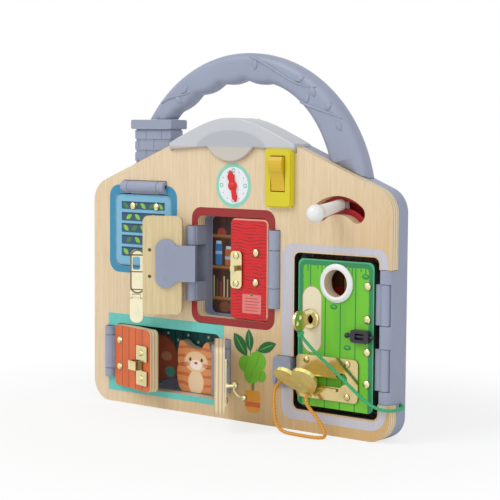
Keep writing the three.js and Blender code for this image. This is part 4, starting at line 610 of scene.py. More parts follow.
def draw_hall(graph, across, up, base):
    """Hall behind the gate: brown boards, a red runner and a warm lamp."""
    plank = graph.math("SINE", graph.math("MULTIPLY", across, 2 * math.pi / 9.0))
    base = graph.mix(graph.step(plank, 0.8, 0.98), base, linear(70, 42, 28))
    base = graph.paint(base, graph.box_off(across, up, (60.0, 142.0, 104.0, 106.6), 0.3), (150, 96, 48))
    for left, right, top, colour in [(76.0, 79.0, 119.0, (222, 188, 140)), (80.0, 83.0, 115.0, (196, 60, 48)),
                                     (84.0, 92.0, 112.0, (214, 44, 44)), (93.0, 95.0, 122.0, (232, 190, 130)),
                                     (96.5, 98.5, 118.0, (206, 130, 84)), (104.0, 107.0, 118.0, (196, 124, 84))]:
        base = graph.paint(base, graph.box_off(across, up, (left, right, 106.6, top), 0.7), colour)
    base = graph.paint(base, graph.oval_off(across, up, (112.0, 126.0), 3.0, 4.0), (206, 160, 86), 0.4)
    base = graph.paint(base, graph.box_off(across, up, (78.0, 124.0, 16.0, 98.0), 6.0), (150, 34, 40), 0.4)
    runner = graph.box_off(across, up, (82.0, 120.0, 20.0, 94.0), 4.0)
    return graph.outline(base, runner, 1.4, (214, 168, 96), 0.3)


def draw_garden(graph, across, up, base):
    """View behind the shutter: pale sky, two hills and round trees."""
    base = graph.paint(base, graph.oval_off(across, up, (-112.0, 112.0), 40.0, 30.0), (112, 178, 84), 0.6)
    base = graph.paint(base, graph.oval_off(across, up, (-72.0, 108.0), 34.0, 40.0), (84, 154, 76), 0.6)
    for x, z, size in [(-112.0, 150.0, 6.0), (-84.0, 158.0, 7.0), (-72.0, 152.0, 5.0)]:
        base = graph.paint(base, graph.box_off(across, up, (x - 0.8, x + 0.8, z - size * 2, z), 0.3), (124, 86, 50))
        base = graph.paint(base, graph.oval_off(across, up, (x, z), size, size * 1.1), (64, 132, 70), 0.4)
    return graph.paint(base, graph.oval_off(across, up, (-100.0, 168.0), 5.0, 5.0), (250, 222, 120), 0.4)


def build_materials():
    grey = (154, 162, 184)
    brass = (240, 228, 176)
    return {
        "grey": plastic("grey_plastic", grey),
        "bricks": plastic("grey_bricks", grey, marks=brick_marks),
        "ply": wood("birch_panel", pale=(228, 208, 176), deep=(206, 170, 116), warm=1.0),
        "ply_left": wood("birch_store_left", pale=(224, 206, 164), deep=(212, 190, 142), turn=STORE_LEFT),
        "ply_kennel": wood("birch_kennel", turn=KENNEL),
        "cat": wood("birch_cat", paint=(228, 150, 92), marks=cat_marks),
        "flap": wood("shutter_blue", paint=(124, 186, 216), marks=slat_marks),
        "red": wood("door_red", paint=(214, 22, 28), marks=board_marks),
        "orange": wood("door_orange", paint=(220, 104, 46), turn=ORANGE, marks=orange_marks),
        # the green door's edges are near black: painted shade of the narrow gap round the closed door
        "green": wood("door_green", paint=(112, 196, 44), marks=green_marks,
                      rims=((40, 56, 46), (24, 30, 28), (18, 22, 20))),
        "frosted": plastic(
            "frosted_plastic", (196, 199, 204), 0.36, 0.1, 0.97, lens_marks, Coat_Weight=0.15),
        "yellow": plastic("yellow_plastic", (222, 208, 34), 0.32, 0.12),
        "amber": plastic("amber_plastic", (222, 184, 36), 0.3, 0.1),
        "crimson": plastic("crimson_plastic", (184, 22, 34), 0.4, 0.15),
        "scarlet": plastic("scarlet_plastic", (226, 30, 30), 0.32, 0.1),
        "white": plastic("white_plastic", (236, 237, 238), 0.3, 0.08, 0.97),
        "ring": plastic("ring_white", (236, 237, 238), 0.3, 0.08, 0.97, ring_marks),
        # near black plastic that stands in for the shade inside the gate's gap: painted shade
        "shadow": plastic("painted_gap_shade", (34, 32, 34), 0.6, 0.2),
        "black": plastic("black_plastic", (44, 44, 52), 0.36, 0.2),
        "board": plastic("lamp_board", (47, 107, 70), 0.5, 0.2),
        "brass": metal("brass", brass, 0.17),
        "sheet": metal("brass_sheet", (250, 243, 208), 0.15, (0.4, 0.6, 0.03), 0.2, turn=STORE_LEFT, marks=hasp_marks),
        "slide": metal("brass_slide", (226, 206, 148), 0.16, (0.03, 0.6, 0.4), 0.5),
        "key": metal("brass_key", (234, 218, 164), 0.2, rim=0.2),
        "heart": metal("brass_heart", (232, 218, 140), 0.42, (0.2, 0.2, 0.2), 0.3, 0.0),
        "steel": metal("steel", (206, 206, 208), 0.28),
    }


LOOKS = build_materials()

NODE_LOOKS = {
    "front_panel": "ply", "back_case": "grey", "battery_cover": "grey", "carry_handle": "grey",
    "chimney": "bricks", "lamp_cap": "frosted", "lamp_board": "board", "clock_hand": "scarlet",
    "switch_plate": "yellow", "switch_rocker": "amber", "lever_plate": "crimson", "lever_stick": "white",
    "window_flap": "flap", "store_door_left": "ply_left", "store_door_right": "red",
    "orange_door": "orange", "kennel_door": "ply_kennel", "green_door": "green", "cat_figure": "cat",
    "porthole_ring": "ring", "bolt_body": "black", "heart_slider": "heart", "catch_plate": "brass",
    "hasp_base": "sheet", "hasp_cover": "sheet", "hasp_tab": "sheet", "strike_plate": "brass",
    "hook_plate": "brass", "swing_hook": "brass", "lock_cylinder": "key", "door_key": "key",
    "slide_plate": "slide", "bolt_rod": "black",
}


def look_of(node):
    if node in NODE_LOOKS:
        return NODE_LOOKS[node]
    if "rivet" in node:
        return "brass"
    return "grey" if node.endswith("hinge") else "steel"


def dress_nodes():
    for name, obj in NODES.items():
        obj.data.materials.clear()
        obj.data.materials.append(LOOKS[look_of(name)])


# Geometry helpers


def new_object(name, mesh, material, body):
    obj = bpy.data.objects.new(name, mesh)
    bpy.context.scene.collection.objects.link(obj)
    mesh.materials.clear()
    mesh.materials.append(material)
    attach(obj, body)
    return obj


def mesh_piece(name, verts, faces, material, body, smooth=True):
    """A piece from points in millimetres."""
    mesh = bpy.data.meshes.new(name)
    mesh.from_pydata([tuple(Vector(v) * MM) for v in verts], [], faces)
    for polygon in mesh.polygons:
        polygon.use_smooth = smooth
    mesh.update()
    return new_object(name, mesh, material, body)


def leaf_matrix(turn):
    """From a leaf's closed place to its rest place, in millimetres."""
    if turn is None:
        return Matrix.Identity(4)
    centre, degrees = turn
    shift = Matrix.Translation(centre)
    return shift @ Matrix.Rotation(math.radians(degrees), 4, "Z") @ shift.inverted()


def plate_mesh(name, outlines, thickness, edge=0.0):
    """A flat plate across X and Z, in millimetres about Y zero: closed outlines, the inner ones holes."""
    curve = bpy.data.curves.new(name, "CURVE")
    curve.dimensions = "2D"
    curve.fill_mode = "BOTH"
    curve.extrude = thickness / 2 - edge
    curve.bevel_depth = edge
    curve.bevel_resolution = 3 if edge else 0
    curve.offset = -edge
    for outline in outlines:
        spline = curve.splines.new("POLY")
        spline.points.add(len(outline) - 1)
        for point, (x, z) in zip(spline.points, outline):
            point.co = (x, z, 0, 1)
        spline.use_cyclic_u = True
    holder = bpy.data.objects.new(name + "_curve", curve)
    bpy.context.scene.collection.objects.link(holder)
    depsgraph = bpy.context.evaluated_depsgraph_get()
    mesh = bpy.data.meshes.new_from_object(holder.evaluated_get(depsgraph))
    mesh.name = name
    bpy.data.objects.remove(holder)
    mesh.transform(Matrix.Rotation(math.pi / 2, 4, "X"))
    return mesh


def leave_out(mesh, boxes):
    """Cut boxes of left, right, bottom and top out of a plate, in millimetres."""
    work = bmesh.new()
    work.from_mesh(mesh)
    for x0, x1, z0, z1 in boxes:
        for place, normal in [((x0, 0, 0), (1, 0, 0)), ((x1, 0, 0), (1, 0, 0)),
                              ((0, 0, z0), (0, 0, 1)), ((0, 0, z1), (0, 0, 1))]:
            everything = work.verts[:] + work.edges[:] + work.faces[:]
            bmesh.ops.bisect_plane(work, geom=everything, plane_co=place, plane_no=normal)
        gone = [face for face in work.faces
                if x0 < face.calc_center_median().x < x1 and z0 < face.calc_center_median().z < z1]
        bmesh.ops.delete(work, geom=gone, context="FACES")
        bmesh.ops.holes_fill(work, edges=[edge for edge in work.edges if edge.is_boundary], sides=8)
    work.to_mesh(mesh)
    work.free()


def print_area(name, outlines, material, body="housing", face=None, turn=None, lift=PRINT_LIFT, gaps=()):
    """A printed area: closed outlines in X and Z, the inner ones holes, just ahead of a face."""
    mesh = plate_mesh(name, outlines, PRINT_THICKNESS)
    if gaps:
        leave_out(mesh, gaps)
    y = (PANEL_FACE if face is None else face) - lift
    mesh.transform(Matrix.Scale(MM, 4) @ leaf_matrix(turn) @ Matrix.Translation((0, y, 0)))
    return new_object(name, mesh, material, body)


def arc(cx, cz, radius, start, end, steps=12, squash=1.0):
    points = []
    for i in range(steps + 1):
        angle = math.radians(start + (end - start) * i / steps)
        points.append((cx + radius * math.cos(angle), cz + radius * squash * math.sin(angle)))
    return points


def disc(cx, cz, radius, squash=1.0, steps=40):
    return arc(cx, cz, radius, 0, 360, steps, squash)[:-1]


def rounded(x0, x1, z0, z1, radius, steps=6):
    """A box with rounded corners; four radii start at the lower right and go round to the lower left."""
    radii = radius if isinstance(radius, tuple) else (radius,) * 4
    corners = [(x1, z0, -90, -1, 1), (x1, z1, 0, -1, -1), (x0, z1, 90, 1, -1), (x0, z0, 180, 1, 1)]
    points = []
    for (x, z, start, in_x, in_z), r in zip(corners, radii):
        points += arc(x + in_x * r, z + in_z * r, r, start, start + 90, steps)
    return points


def pointed_leaf(cx, cz, length, width, tilt, steps=8):
    """A leaf with two pointed ends, turned by its tilt in degrees."""
    ahead = Vector((math.cos(math.radians(tilt)), math.sin(math.radians(tilt))))
    across = Vector((-ahead.y, ahead.x))
    points = []
    for side in (1, -1):
        for i in range(steps):
            share = i / steps if side > 0 else 1 - i / steps
            wide = width / 2 * math.sin(math.pi * share) ** 0.85
            place = Vector((cx, cz)) + ahead * (share - 0.5) * length + across * wide * side
            points.append(tuple(place))
    return points


def smooth_route(points, per_span=6):
    """The centripetal curve through the points, as the part draws its cords."""
    places = [Vector(p) for p in points]
    places = [places[0] * 2 - places[1]] + places + [places[-1] * 2 - places[-2]]
    route = []
    for i in range(1, len(places) - 2):
        p0, p1, p2, p3 = places[i - 1:i + 3]
        gaps = [max((b - a).length, 1e-4) ** 0.5 for a, b in ((p0, p1), (p1, p2), (p2, p3))]
        t1 = (p1 - p0) / gaps[0] - (p2 - p0) / (gaps[0] + gaps[1]) + (p2 - p1) / gaps[1]
        t2 = (p2 - p1) / gaps[1] - (p3 - p1) / (gaps[1] + gaps[2]) + (p3 - p2) / gaps[2]
        t1, t2 = t1 * gaps[1], t2 * gaps[1]
        for k in range(per_span):
            t = k / per_span
            route.append(
                p1 * (2 * t**3 - 3 * t**2 + 1) + t1 * (t**3 - 2 * t**2 + t)
                + p2 * (-2 * t**3 + 3 * t**2) + t2 * (t**3 - t**2))
    return route + [places[-2]]


def tube(name, route, radius, material, body, sides=12, taper=None):
    """A round tube along a route in millimetres, closed at both ends, with lengths in its UV map."""
    ahead = [(route[min(i + 1, len(route) - 1)] - route[max(i - 1, 0)]).normalized() for i in range(len(route))]
    across = ahead[0].orthogonal().normalized()
    rings, verts, travelled, run = len(route), [], [], 0.0
    for i, place in enumerate(route):
        if i:
            run += (place - route[i - 1]).length
            across = (across - ahead[i] * across.dot(ahead[i])).normalized()
        travelled.append(run * MM)
        other = ahead[i].cross(across)
        wide = radius if taper is None else radius * taper(i / (rings - 1))
        for k in range(sides):
            angle = 2 * math.pi * k / sides
            verts.append((place + (across * math.cos(angle) + other * math.sin(angle)) * wide) * MM)
    faces, uvs = [], []
    for i in range(rings - 1):
        for k in range(sides):
            n = (k + 1) % sides
            faces.append((i * sides + k, i * sides + n, (i + 1) * sides + n, (i + 1) * sides + k))
            uvs += [(travelled[i], k / sides), (travelled[i], (k + 1) / sides),
                    (travelled[i + 1], (k + 1) / sides), (travelled[i + 1], k / sides)]
    faces.append(tuple(reversed(range(sides))))
    faces.append(tuple(range((rings - 1) * sides, rings * sides)))
    uvs += [(0.0, 0.0)] * sides + [(travelled[-1], 0.0)] * sides
    mesh = bpy.data.meshes.new(name)
    mesh.from_pydata([tuple(v) for v in verts], [], faces)
    layer = mesh.uv_layers.new(name="UVMap")
    for loop, uv in zip(layer.data, uvs):
        loop.uv = uv
    for polygon in mesh.polygons:
        polygon.use_smooth = len(polygon.vertices) == 4
    mesh.update()
    return new_object(name, mesh, material, body), run * MM


def surface_tree(obj):
    """The surface of a piece, to lay relief or pictures on."""
    work = bmesh.new()
    work.from_mesh(obj.data)
    tree = BVHTree.FromBMesh(work)
    work.free()
    return tree


def depth_at(tree, x, z, default):
    """Where a straight line from the front first meets the surface, as Y in millimetres."""
    hit = tree.ray_cast(Vector((x * MM, -0.2, z * MM)), Vector((0, 1, 0)))[0]
    return default if hit is None else hit.y / MM


# Camera and cords


def place_camera():
    sin_a, cos_a = math.sin(CAMERA_AZIMUTH), math.cos(CAMERA_AZIMUTH)
    sin_e, cos_e = math.sin(CAMERA_ELEVATION), math.cos(CAMERA_ELEVATION)
    back = Vector((sin_a * cos_e, -cos_a * cos_e, sin_e))
    right = Vector((cos_a, sin_a, 0))
    up = back.cross(right)
    turned_right = right * math.cos(CAMERA_ROLL) + up * math.sin(CAMERA_ROLL)
    turned_up = up * math.cos(CAMERA_ROLL) - right * math.sin(CAMERA_ROLL)
    data = bpy.data.cameras.new("camera")
    data.sensor_width = CAMERA_SENSOR
    data.lens = CAMERA_LENS
    camera = bpy.data.objects.new("camera", data)
    bpy.context.scene.collection.objects.link(camera)
    camera.matrix_world = Matrix((turned_right, turned_up, back)).transposed().to_4x4()
    camera.location = CAMERA_PLACE
    bpy.context.scene.camera = camera


def knot(name, centre, size, cord_radius, material):
    """An overhand knot: one strand that winds three times through itself."""
    steps = 48
    route = []
    for i in range(steps + 1):
        angle = 2 * math.pi * i / steps
        x = math.sin(angle) + 2 * math.sin(2 * angle)
        y = math.cos(angle) - 2 * math.cos(2 * angle)
        z = -math.sin(3 * angle)
        route.append(Vector(centre) + Vector((x, z, y)) * size / 3)
    return tube(name, route, cord_radius, material, "housing")[0]


def lay_cord(node, points, radius, colour, knots=()):
    route = smooth_route(points)
    material = braid(node + "_weave", colour)
    cord, length = tube(node + "_braid", route, radius, material, "housing")
    pieces = [knot(f"{node}_knot_{i + 1}", centre, size, radius * 0.85, material)
              for i, (centre, size) in enumerate(knots)]
    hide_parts(node)
    return cord


# Handle, lamp cap and case: fuller forms over the part's plainer solids

HANDLE = {
    "outer": 120.5, "x": 2.65, "z": 172.5, "width": 21.2, "left_width": 18.4, "foot_width": 31.4,
    "depth": 17.4, "round": 6.6, "y": 3.6, "from": 6.0, "to": 150.0,
}
FINGERS = {"count": 4, "depth": 2.8, "step": 14.8, "middle": 14.0}
ROOF_TOP, ROOF_SLOPE = 245.3, 0.406
CHIMNEY_TOP = 240.2


def smooth_share(value, low, high):
    share = min(max((value - low) / (high - low), 0.0), 1.0)
    return share * share * (3 - 2 * share)


def handle_inner(degrees):
    """Inner radius of the handle: wider at its right foot, with four lobes under the fingers."""
    from_top = degrees - 90
    left, right = smooth_share(from_top, 18, 50), smooth_share(-from_top, 18, 84)
    width = HANDLE["width"] + (HANDLE["left_width"] - HANDLE["width"]) * left
    width += (HANDLE["foot_width"] - HANDLE["width"]) * right
    inner = HANDLE["outer"] - width
    span = FINGERS["count"] * FINGERS["step"]
    along = from_top - FINGERS["middle"] + span / 2
    if 0 < along < span:
        inner -= FINGERS["depth"] * abs(math.sin(math.pi * along / FINGERS["step"]))
    return inner


def carry_handle():
    rings, sides, half = 150, 40, HANDLE["depth"] / 2
    verts, faces = [], []
    for i in range(rings + 1):
        degrees = HANDLE["from"] + (HANDLE["to"] - HANDLE["from"]) * i / rings
        inner, angle = handle_inner(degrees), math.radians(degrees)
        section = rounded(inner, HANDLE["outer"], -half, half, HANDLE["round"], sides // 4 - 1)
        for radius, depth in section:
            verts.append((HANDLE["x"] + radius * math.cos(angle), HANDLE["y"] + depth,
                          HANDLE["z"] + radius * math.sin(angle)))
    for i in range(rings):
        for k in range(sides):
            n = (k + 1) % sides
            faces.append((i * sides + k, i * sides + n, (i + 1) * sides + n, (i + 1) * sides + k))
    faces.append(tuple(reversed(range(sides))))
    faces.append(tuple(range(rings * sides, (rings + 1) * sides)))
    handle = mesh_piece("moulded_handle", verts, faces, LOOKS["grey"], "housing")
    cut_below(handle, 1, (0, 0, ROOF_TOP + 0.3), (ROOF_SLOPE, 0, 1))
    cut_below(handle, -1, (0, 0, CHIMNEY_TOP + 0.3), (0, 0, 1))
    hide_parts("carry_handle")
    return handle


def cut_below(piece, side, place, normal):
    """Take away what lies under a plane, on one side of the middle, and close the cut."""
    work = bmesh.new()
    work.from_mesh(piece.data)
    half = [face for face in work.faces if face.calc_center_median().x * side > 0]
    geometry = set(half)
    for face in half:
        geometry.update(face.edges)
        geometry.update(face.verts)
    bmesh.ops.bisect_plane(
        work, geom=list(geometry), plane_co=Vector(place) * MM, plane_no=normal, clear_inner=True)
    bmesh.ops.holes_fill(work, edges=[edge for edge in work.edges if edge.is_boundary], sides=0)
    bmesh.ops.recalc_face_normals(work, faces=work.faces)
    for face in work.faces:
        face.smooth = len(face.verts) <= 5
    work.to_mesh(piece.data)
    work.free()


def vines(handle):
    """Raised stems with pointed leaves that lie on the front of the handle."""
    tree = surface_tree(handle)
    face = HANDLE["y"] - HANDLE["depth"] / 2
    for number, points in enumerate(VINES):
        flat = smooth_route([(x, 0, z) for x, z in points], 8)
        route = [Vector((p.x, depth_at(tree, p.x, p.z, face + 2.0) - 0.1, p.z)) for p in flat]
        tube(f"vine_{number + 1}", route, VINE_RADIUS, LOOKS["grey"], "housing", 10,
             lambda share: 0.35 + 0.65 * math.sin(math.pi * min(0.5 + share * 0.48, 1.0)))
    for number, (x, z, tilt) in enumerate(VINE_LEAVES):
        raised_leaf(f"vine_leaf_{number + 1}", tree, x, z, tilt, face)


def raised_leaf(name, tree, x, z, tilt, face):
    """A small domed leaf that follows the surface under it."""
    rings = [(1.0, 0.35), (0.96, -0.4), (0.7, -0.85), (0.3, -1.0)]
    verts, faces, count = [], [], 0
    for share, height in rings:
        ring = pointed_leaf(x, z, VINE_LEAF_LENGTH * share, VINE_LEAF_WIDTH * share, tilt)
        count = len(ring)
        verts += [(px, depth_at(tree, px, pz, face + 2.0) + height, pz) for px, pz in ring]
    ground = depth_at(tree, x, z, face + 2.0)
    verts += [(x, ground + 0.35, z), (x, ground - 1.03, z)]
    for i in range(len(rings) - 1):
        for k in range(count):
            n = (k + 1) % count
            faces.append((i * count + k, i * count + n, (i + 1) * count + n, (i + 1) * count + k))
    last = (len(rings) - 1) * count
    for k in range(count):
        n = (k + 1) % count
        faces.append((len(verts) - 2, n, k))
        faces.append((len(verts) - 1, last + k, last + n))
    return mesh_piece(name, verts, faces, LOOKS["grey"], "housing")


LAMP_TOP = [(0, 241.6), (9, 241.2), (20, 239), (32, 235), (45, 229.6), (56, 224.8), (63, 221.3)]
LAMP_STRIP = 4.6
LAMP_LOW = 218.6
LAMP_TIP = 215.8
LAMP_DISC = 28.7
LAMP_DISC_LOW = 206.8
LAMP_FRONT, LAMP_BACK = -16.4, 6.2
CASE_TOP = 241.0


def lamp_top_line():
    half = [(p.x, p.z) for p in smooth_route([(x, 0, z) for x, z in LAMP_TOP], 5)]
    return [(-x, z) for x, z in reversed(half[1:])] + half


def lamp_cap():
    """Frosted cap: a thin saddle over the ridge and a flat front with rounded edges, which takes in the light's disc.
    """
    top = lamp_top_line()
    end = LAMP_TOP[-1][0]
    low = ROOF_TOP - ROOF_SLOPE * end - LAMP_STRIP
    strip = top + [(end, low), (0, ROOF_TOP - 2 * LAMP_STRIP), (-end, low)]
    depth = LAMP_BACK - LAMP_FRONT - 1.6
    saddle = plate_mesh("lamp_saddle", [strip], depth, 0.8)
    saddle.transform(Matrix.Scale(MM, 4) @ Matrix.Translation((0, LAMP_BACK - depth / 2, 0)))
    disc_z = LAMP_DISC_LOW + LAMP_DISC
    start = math.degrees(math.asin((LAMP_LOW - disc_z) / LAMP_DISC))
    apron = top + arc(end - 2, LAMP_TIP + 2, 2, 0, -90, 4)
    apron += arc(0, disc_z, LAMP_DISC, start, -180 - start, 24)
    apron += arc(-end + 2, LAMP_TIP + 2, 2, -90, -180, 4)
    thickness = PANEL_FACE - 0.3 - LAMP_FRONT
    front = plate_mesh("lamp_front", [apron], thickness, 1.2)
    front.transform(Matrix.Scale(MM, 4) @ Matrix.Translation((0, PANEL_FACE - 0.3 - thickness / 2, 0)))
    pieces = [new_object("lamp_saddle", saddle, LOOKS["frosted"], "housing"),
              new_object("lamp_front", front, LOOKS["frosted"], "housing")]
    for piece in pieces:
        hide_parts("lamp_cap")
    return pieces


LEVER_ROOT = Vector((99.2, -5.6, 175.95))
LEVER_BALL = Vector((97.8, -36.1, 170.7))
LEVER_SHANK = 4.5
LEVER_BALL_RADIUS = 6.9
LEVER_CUT = -4.5


def lever():
    """White lever: a slim shank that droops towards a ball, on the arm behind the panel."""
    along = (LEVER_BALL - LEVER_ROOT).normalized()
    reach = (LEVER_BALL - LEVER_ROOT).length
    start = math.degrees(math.acos(LEVER_SHANK * 1.15 / LEVER_BALL_RADIUS))
    straight = reach - LEVER_BALL_RADIUS * math.sin(math.radians(start))
    places, radii = [], []
    for i in range(13):
        places.append(straight * i / 12)
        radii.append(LEVER_SHANK * (1 + 0.15 * smooth_share(i / 12, 0.2, 1.0)))
    for i in range(1, 25):
        angle = math.radians(-start + (start + 89.4) * i / 24)
        places.append(reach + LEVER_BALL_RADIUS * math.sin(angle))
        radii.append(LEVER_BALL_RADIUS * math.cos(angle))
    route = [LEVER_ROOT + Vector((0, 1.4, 0))] + [LEVER_ROOT + along * place for place in places]
    radii = radii[:1] + radii
    knob = tube("lever_knob", route, 1.0, LOOKS["white"], "lever", 32,
                lambda share: radii[round(share * (len(radii) - 1))])[0]
    arm = new_object("lever_arm", NODES["lever_stick"].data.copy(), LOOKS["white"], "lever")
    work = bmesh.new()
    work.from_mesh(arm.data)
    bmesh.ops.bisect_plane(
        work, geom=work.verts[:] + work.edges[:] + work.faces[:], plane_co=(0, LEVER_CUT * MM, 0),
        plane_no=(0, 1, 0), clear_inner=True)
    bmesh.ops.holes_fill(work, edges=[edge for edge in work.edges if edge.is_boundary], sides=0)
    work.to_mesh(arm.data)
    work.free()
    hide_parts("lever_stick")
    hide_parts("lever_stick")


def moulded_case():
    """The grey case with its ridge cut off flat, so that nothing of it stands above the lamp cap."""
    mesh = NODES["back_case"].data.copy()
    mesh.name = "moulded_case"
    case = new_object("moulded_case", mesh, LOOKS["grey"], "housing")
    work = bmesh.new()
    work.from_mesh(mesh)
    bmesh.ops.bisect_plane(
        work, geom=work.verts[:] + work.edges[:] + work.faces[:], plane_co=(0, 0, CASE_TOP * MM),
        plane_no=(0, 0, 1), clear_outer=True)
    bmesh.ops.holes_fill(work, edges=[edge for edge in work.edges if edge.is_boundary], sides=0)
    bmesh.ops.recalc_face_normals(work, faces=work.faces)
    work.to_mesh(mesh)
    work.free()
    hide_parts("back_case")
    return case


# Prints on the front


def opening_frames():
    blue = ink("ink_blue", (54, 140, 178))
    crimson = ink("ink_crimson", (150, 34, 34))
    teal = ink("ink_teal", (104, 200, 190))
    lavender = ink("ink_lavender", (196, 194, 204))
    print_area("window_frame", [
        rounded(-131.8, -56.8, 111.6, 185.6, 10), rounded(*WINDOW_HOLE[:4], WINDOW_HOLE[4])],
        blue, gaps=[WINDOW_BARREL])
    print_area("store_frame", [
        rounded(-40.8, 43.6, 75.6, 169.8, 9), rounded(*STORE_HOLE[:4], STORE_HOLE[4])],
        crimson, gaps=[STORE_LEFT_BARREL, STORE_RIGHT_BARREL])
    print_area("kennel_frame", [
        rounded(-133.1, -7.0, 9.6, 76.0, 0.6), rounded(*KENNEL_HOLE[:4], KENNEL_HOLE[4])],
        teal, gaps=[ORANGE_BARREL, KENNEL_BARREL])
    x0, x1, z0, z1, corner = GATE_HOLE
    print_area("gate_frame", [
        rounded(50.6, 147.4, 8.4, 145.0, (15, 10, 10, 10)),
        rounded(x0 - 1.3, x1 + 1.3, z0 - 1.3, z1 + 1.3, corner + 1.3)],
        lavender, gaps=[GATE_BLOCK, GATE_KEEPER])


def gate_gap_shade():
    """Black sleeve of painted shade that lines the gate's opening, left out at the keeper and along the hinge."""
    x0, x1, z0, z1, corner = GATE_HOLE
    depth = 8.4
    ring = plate_mesh("gate_gap_shade", [
        rounded(x0 + 0.05, x1 - 0.05, z0 + 0.05, z1 - 0.05, corner),
        rounded(x0 + 0.4, x1 - 0.4, z0 + 0.4, z1 - 0.4, corner - 0.35)], depth)
    leave_out(ring, [GATE_KEEPER, (132.0, 142.0, 24.0, 134.0)])
    ring.transform(Matrix.Scale(MM, 4) @ Matrix.Translation((0, PANEL_FACE + 0.2 + depth / 2, 0)))
    new_object("gate_gap_shade", ring, LOOKS["shadow"], "housing")


def lever_back():
    """Red behind the lever's slot."""
    tree = surface_tree(NODES["back_case"])
    depth = depth_at(tree, 114.0, 170.0, 0.0)
    print_area("lever_back", [rounded(92.0, 126.0, 162.0, 184.0, 3)], LOOKS["crimson"], face=depth)


def leaf_details():
    """Left store leaf, seen from behind: two small bores in the wood, drawn as dark discs of painted shade, and the
    plugs of the hinge.
    """
    dark = ink("bore_painted_shade", (92, 70, 52))
    # dark discs: painted shade inside the two bores
    for number, (x, z) in enumerate(STORE_BORES):
        print_area(f"leaf_bore_{number + 1}", [disc(x, z, 1.4, steps=20)], dark, "store_left", LEAF_BACK,
                   STORE_LEFT, -PRINT_LIFT)
    for number, (x, z) in enumerate(HINGE_BORES):
        print_area(f"hinge_plug_{number + 1}", [disc(x, z, 2.0, steps=20)], LOOKS["grey"], "store_left",
                   HINGE_BACK, STORE_LEFT, -PRINT_LIFT)


def pictures():
    """Pictures at the back of the four compartments."""
    tree = surface_tree(NODES["back_case"])
    rows = [
        ("window_picture", WINDOW_HOLE, (156, 206, 226), draw_garden),
        ("store_picture", STORE_HOLE, (58, 32, 24), draw_shelves),
        ("den_picture", KENNEL_HOLE, (26, 92, 92), draw_den),
        ("gate_picture", GATE_HOLE, (112, 72, 46), draw_hall),
    ]
    for name, (x0, x1, z0, z1, corner), colour, draw in rows:
        middle = ((x0 + x1) / 2, (z0 + z1) / 2)
        back = max(depth_at(tree, middle[0] + dx, middle[1] + dz, 0.0) for dx in (-14, 0, 14) for dz in (-16, 0, 16))
        print_area(name, [rounded(x0 + 1, x1 - 1, z0 + 1, z1 - 1, corner)], ink(name + "_ink", colour, draw=draw),
                   face=back)


def clock_face():
    centre, outer = (1.8, 188.2), 17.6
    mint = ink("ink_mint", (140, 208, 188))
    white = ink("ink_white", (232, 236, 240))
    pale = ink("ink_tick", (150, 178, 196))
    print_area("clock_ring", [disc(*centre, outer), disc(*centre, 14.8)], mint)
    print_area("clock_dial", [disc(*centre, 14.7), disc(*centre, 2.4, steps=16)], white)
    for hour in range(12):
        angle = math.radians(30 * hour)
        x, z = centre[0] + 11.9 * math.sin(angle), centre[1] + 11.9 * math.cos(angle)
        if hour % 3 == 0:
            print_area(f"clock_mark_{hour}", [disc(x, z, 1.9, steps=20), disc(x, z, 0.9, steps=16)], mint,
                       lift=PRINT_LIFT * 2)
        else:
            print_area(f"clock_mark_{hour}", [disc(x, z, 0.55, steps=12)], pale, lift=PRINT_LIFT * 2)


def shutter_leaves():
    """Small leaves and berries between the slats, each row its own arrangement."""
    light = ink("ink_leaf_light", (140, 196, 64))
    deep = ink("ink_leaf_deep", (70, 132, 66))
    berry = ink("ink_berry", (226, 232, 214))
    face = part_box("window_flap")[0].y / MM
    for row, (top, bottom) in enumerate(SLAT_ROWS):
        middle, tall = (top + bottom) / 2, top - bottom
        for number in range(5):
            x = SLAT_LEFT + 5.0 + number * 9.6 + (row % 2) * 3.4
            if x > SLAT_RIGHT - 4:
                continue
            tilt = 32 if (number + row) % 2 else -38
            colour = light if (number + row) % 3 else deep
            leaf = pointed_leaf(x, middle, 7.4, tall * 0.52, tilt)
            clipped = [(px, min(max(pz, bottom + 0.2), top - 0.2)) for px, pz in leaf]
            print_area(f"slat_leaf_{row + 1}_{number + 1}", [clipped], colour, "window", face)
        print_area(f"slat_berry_{row + 1}", [disc(SLAT_RIGHT - 9 + row % 2 * 4, middle + 1, 0.8, steps=12)], berry,
                   "window", face)


def note():
    """Pink note on the red leaf, with five plain lines and a pin."""
    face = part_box("store_door_right")[0].y / MM
    pink = ink("ink_pink", (226, 128, 122))
    rose = ink("ink_rose", (190, 72, 74))
    print_area("note", [rounded(11.6, 30.2, 87.4, 102.6, 0.6)], pink, "store_right", face)
    for line in range(5):
        z = 99.4 - line * 2.4
        print_area(f"note_line_{line + 1}", [rounded(14.0, 28.0 if line % 2 else 27.0, z - 0.3, z + 0.3, 0.2, 2)],
                   rose, "store_right", face, lift=PRINT_LIFT * 2)
    print_area("note_pin", [disc(20.8, 102.4, 1.3, steps=16)], ink("ink_pin", (60, 140, 84)), "store_right", face,
               lift=PRINT_LIFT * 2)


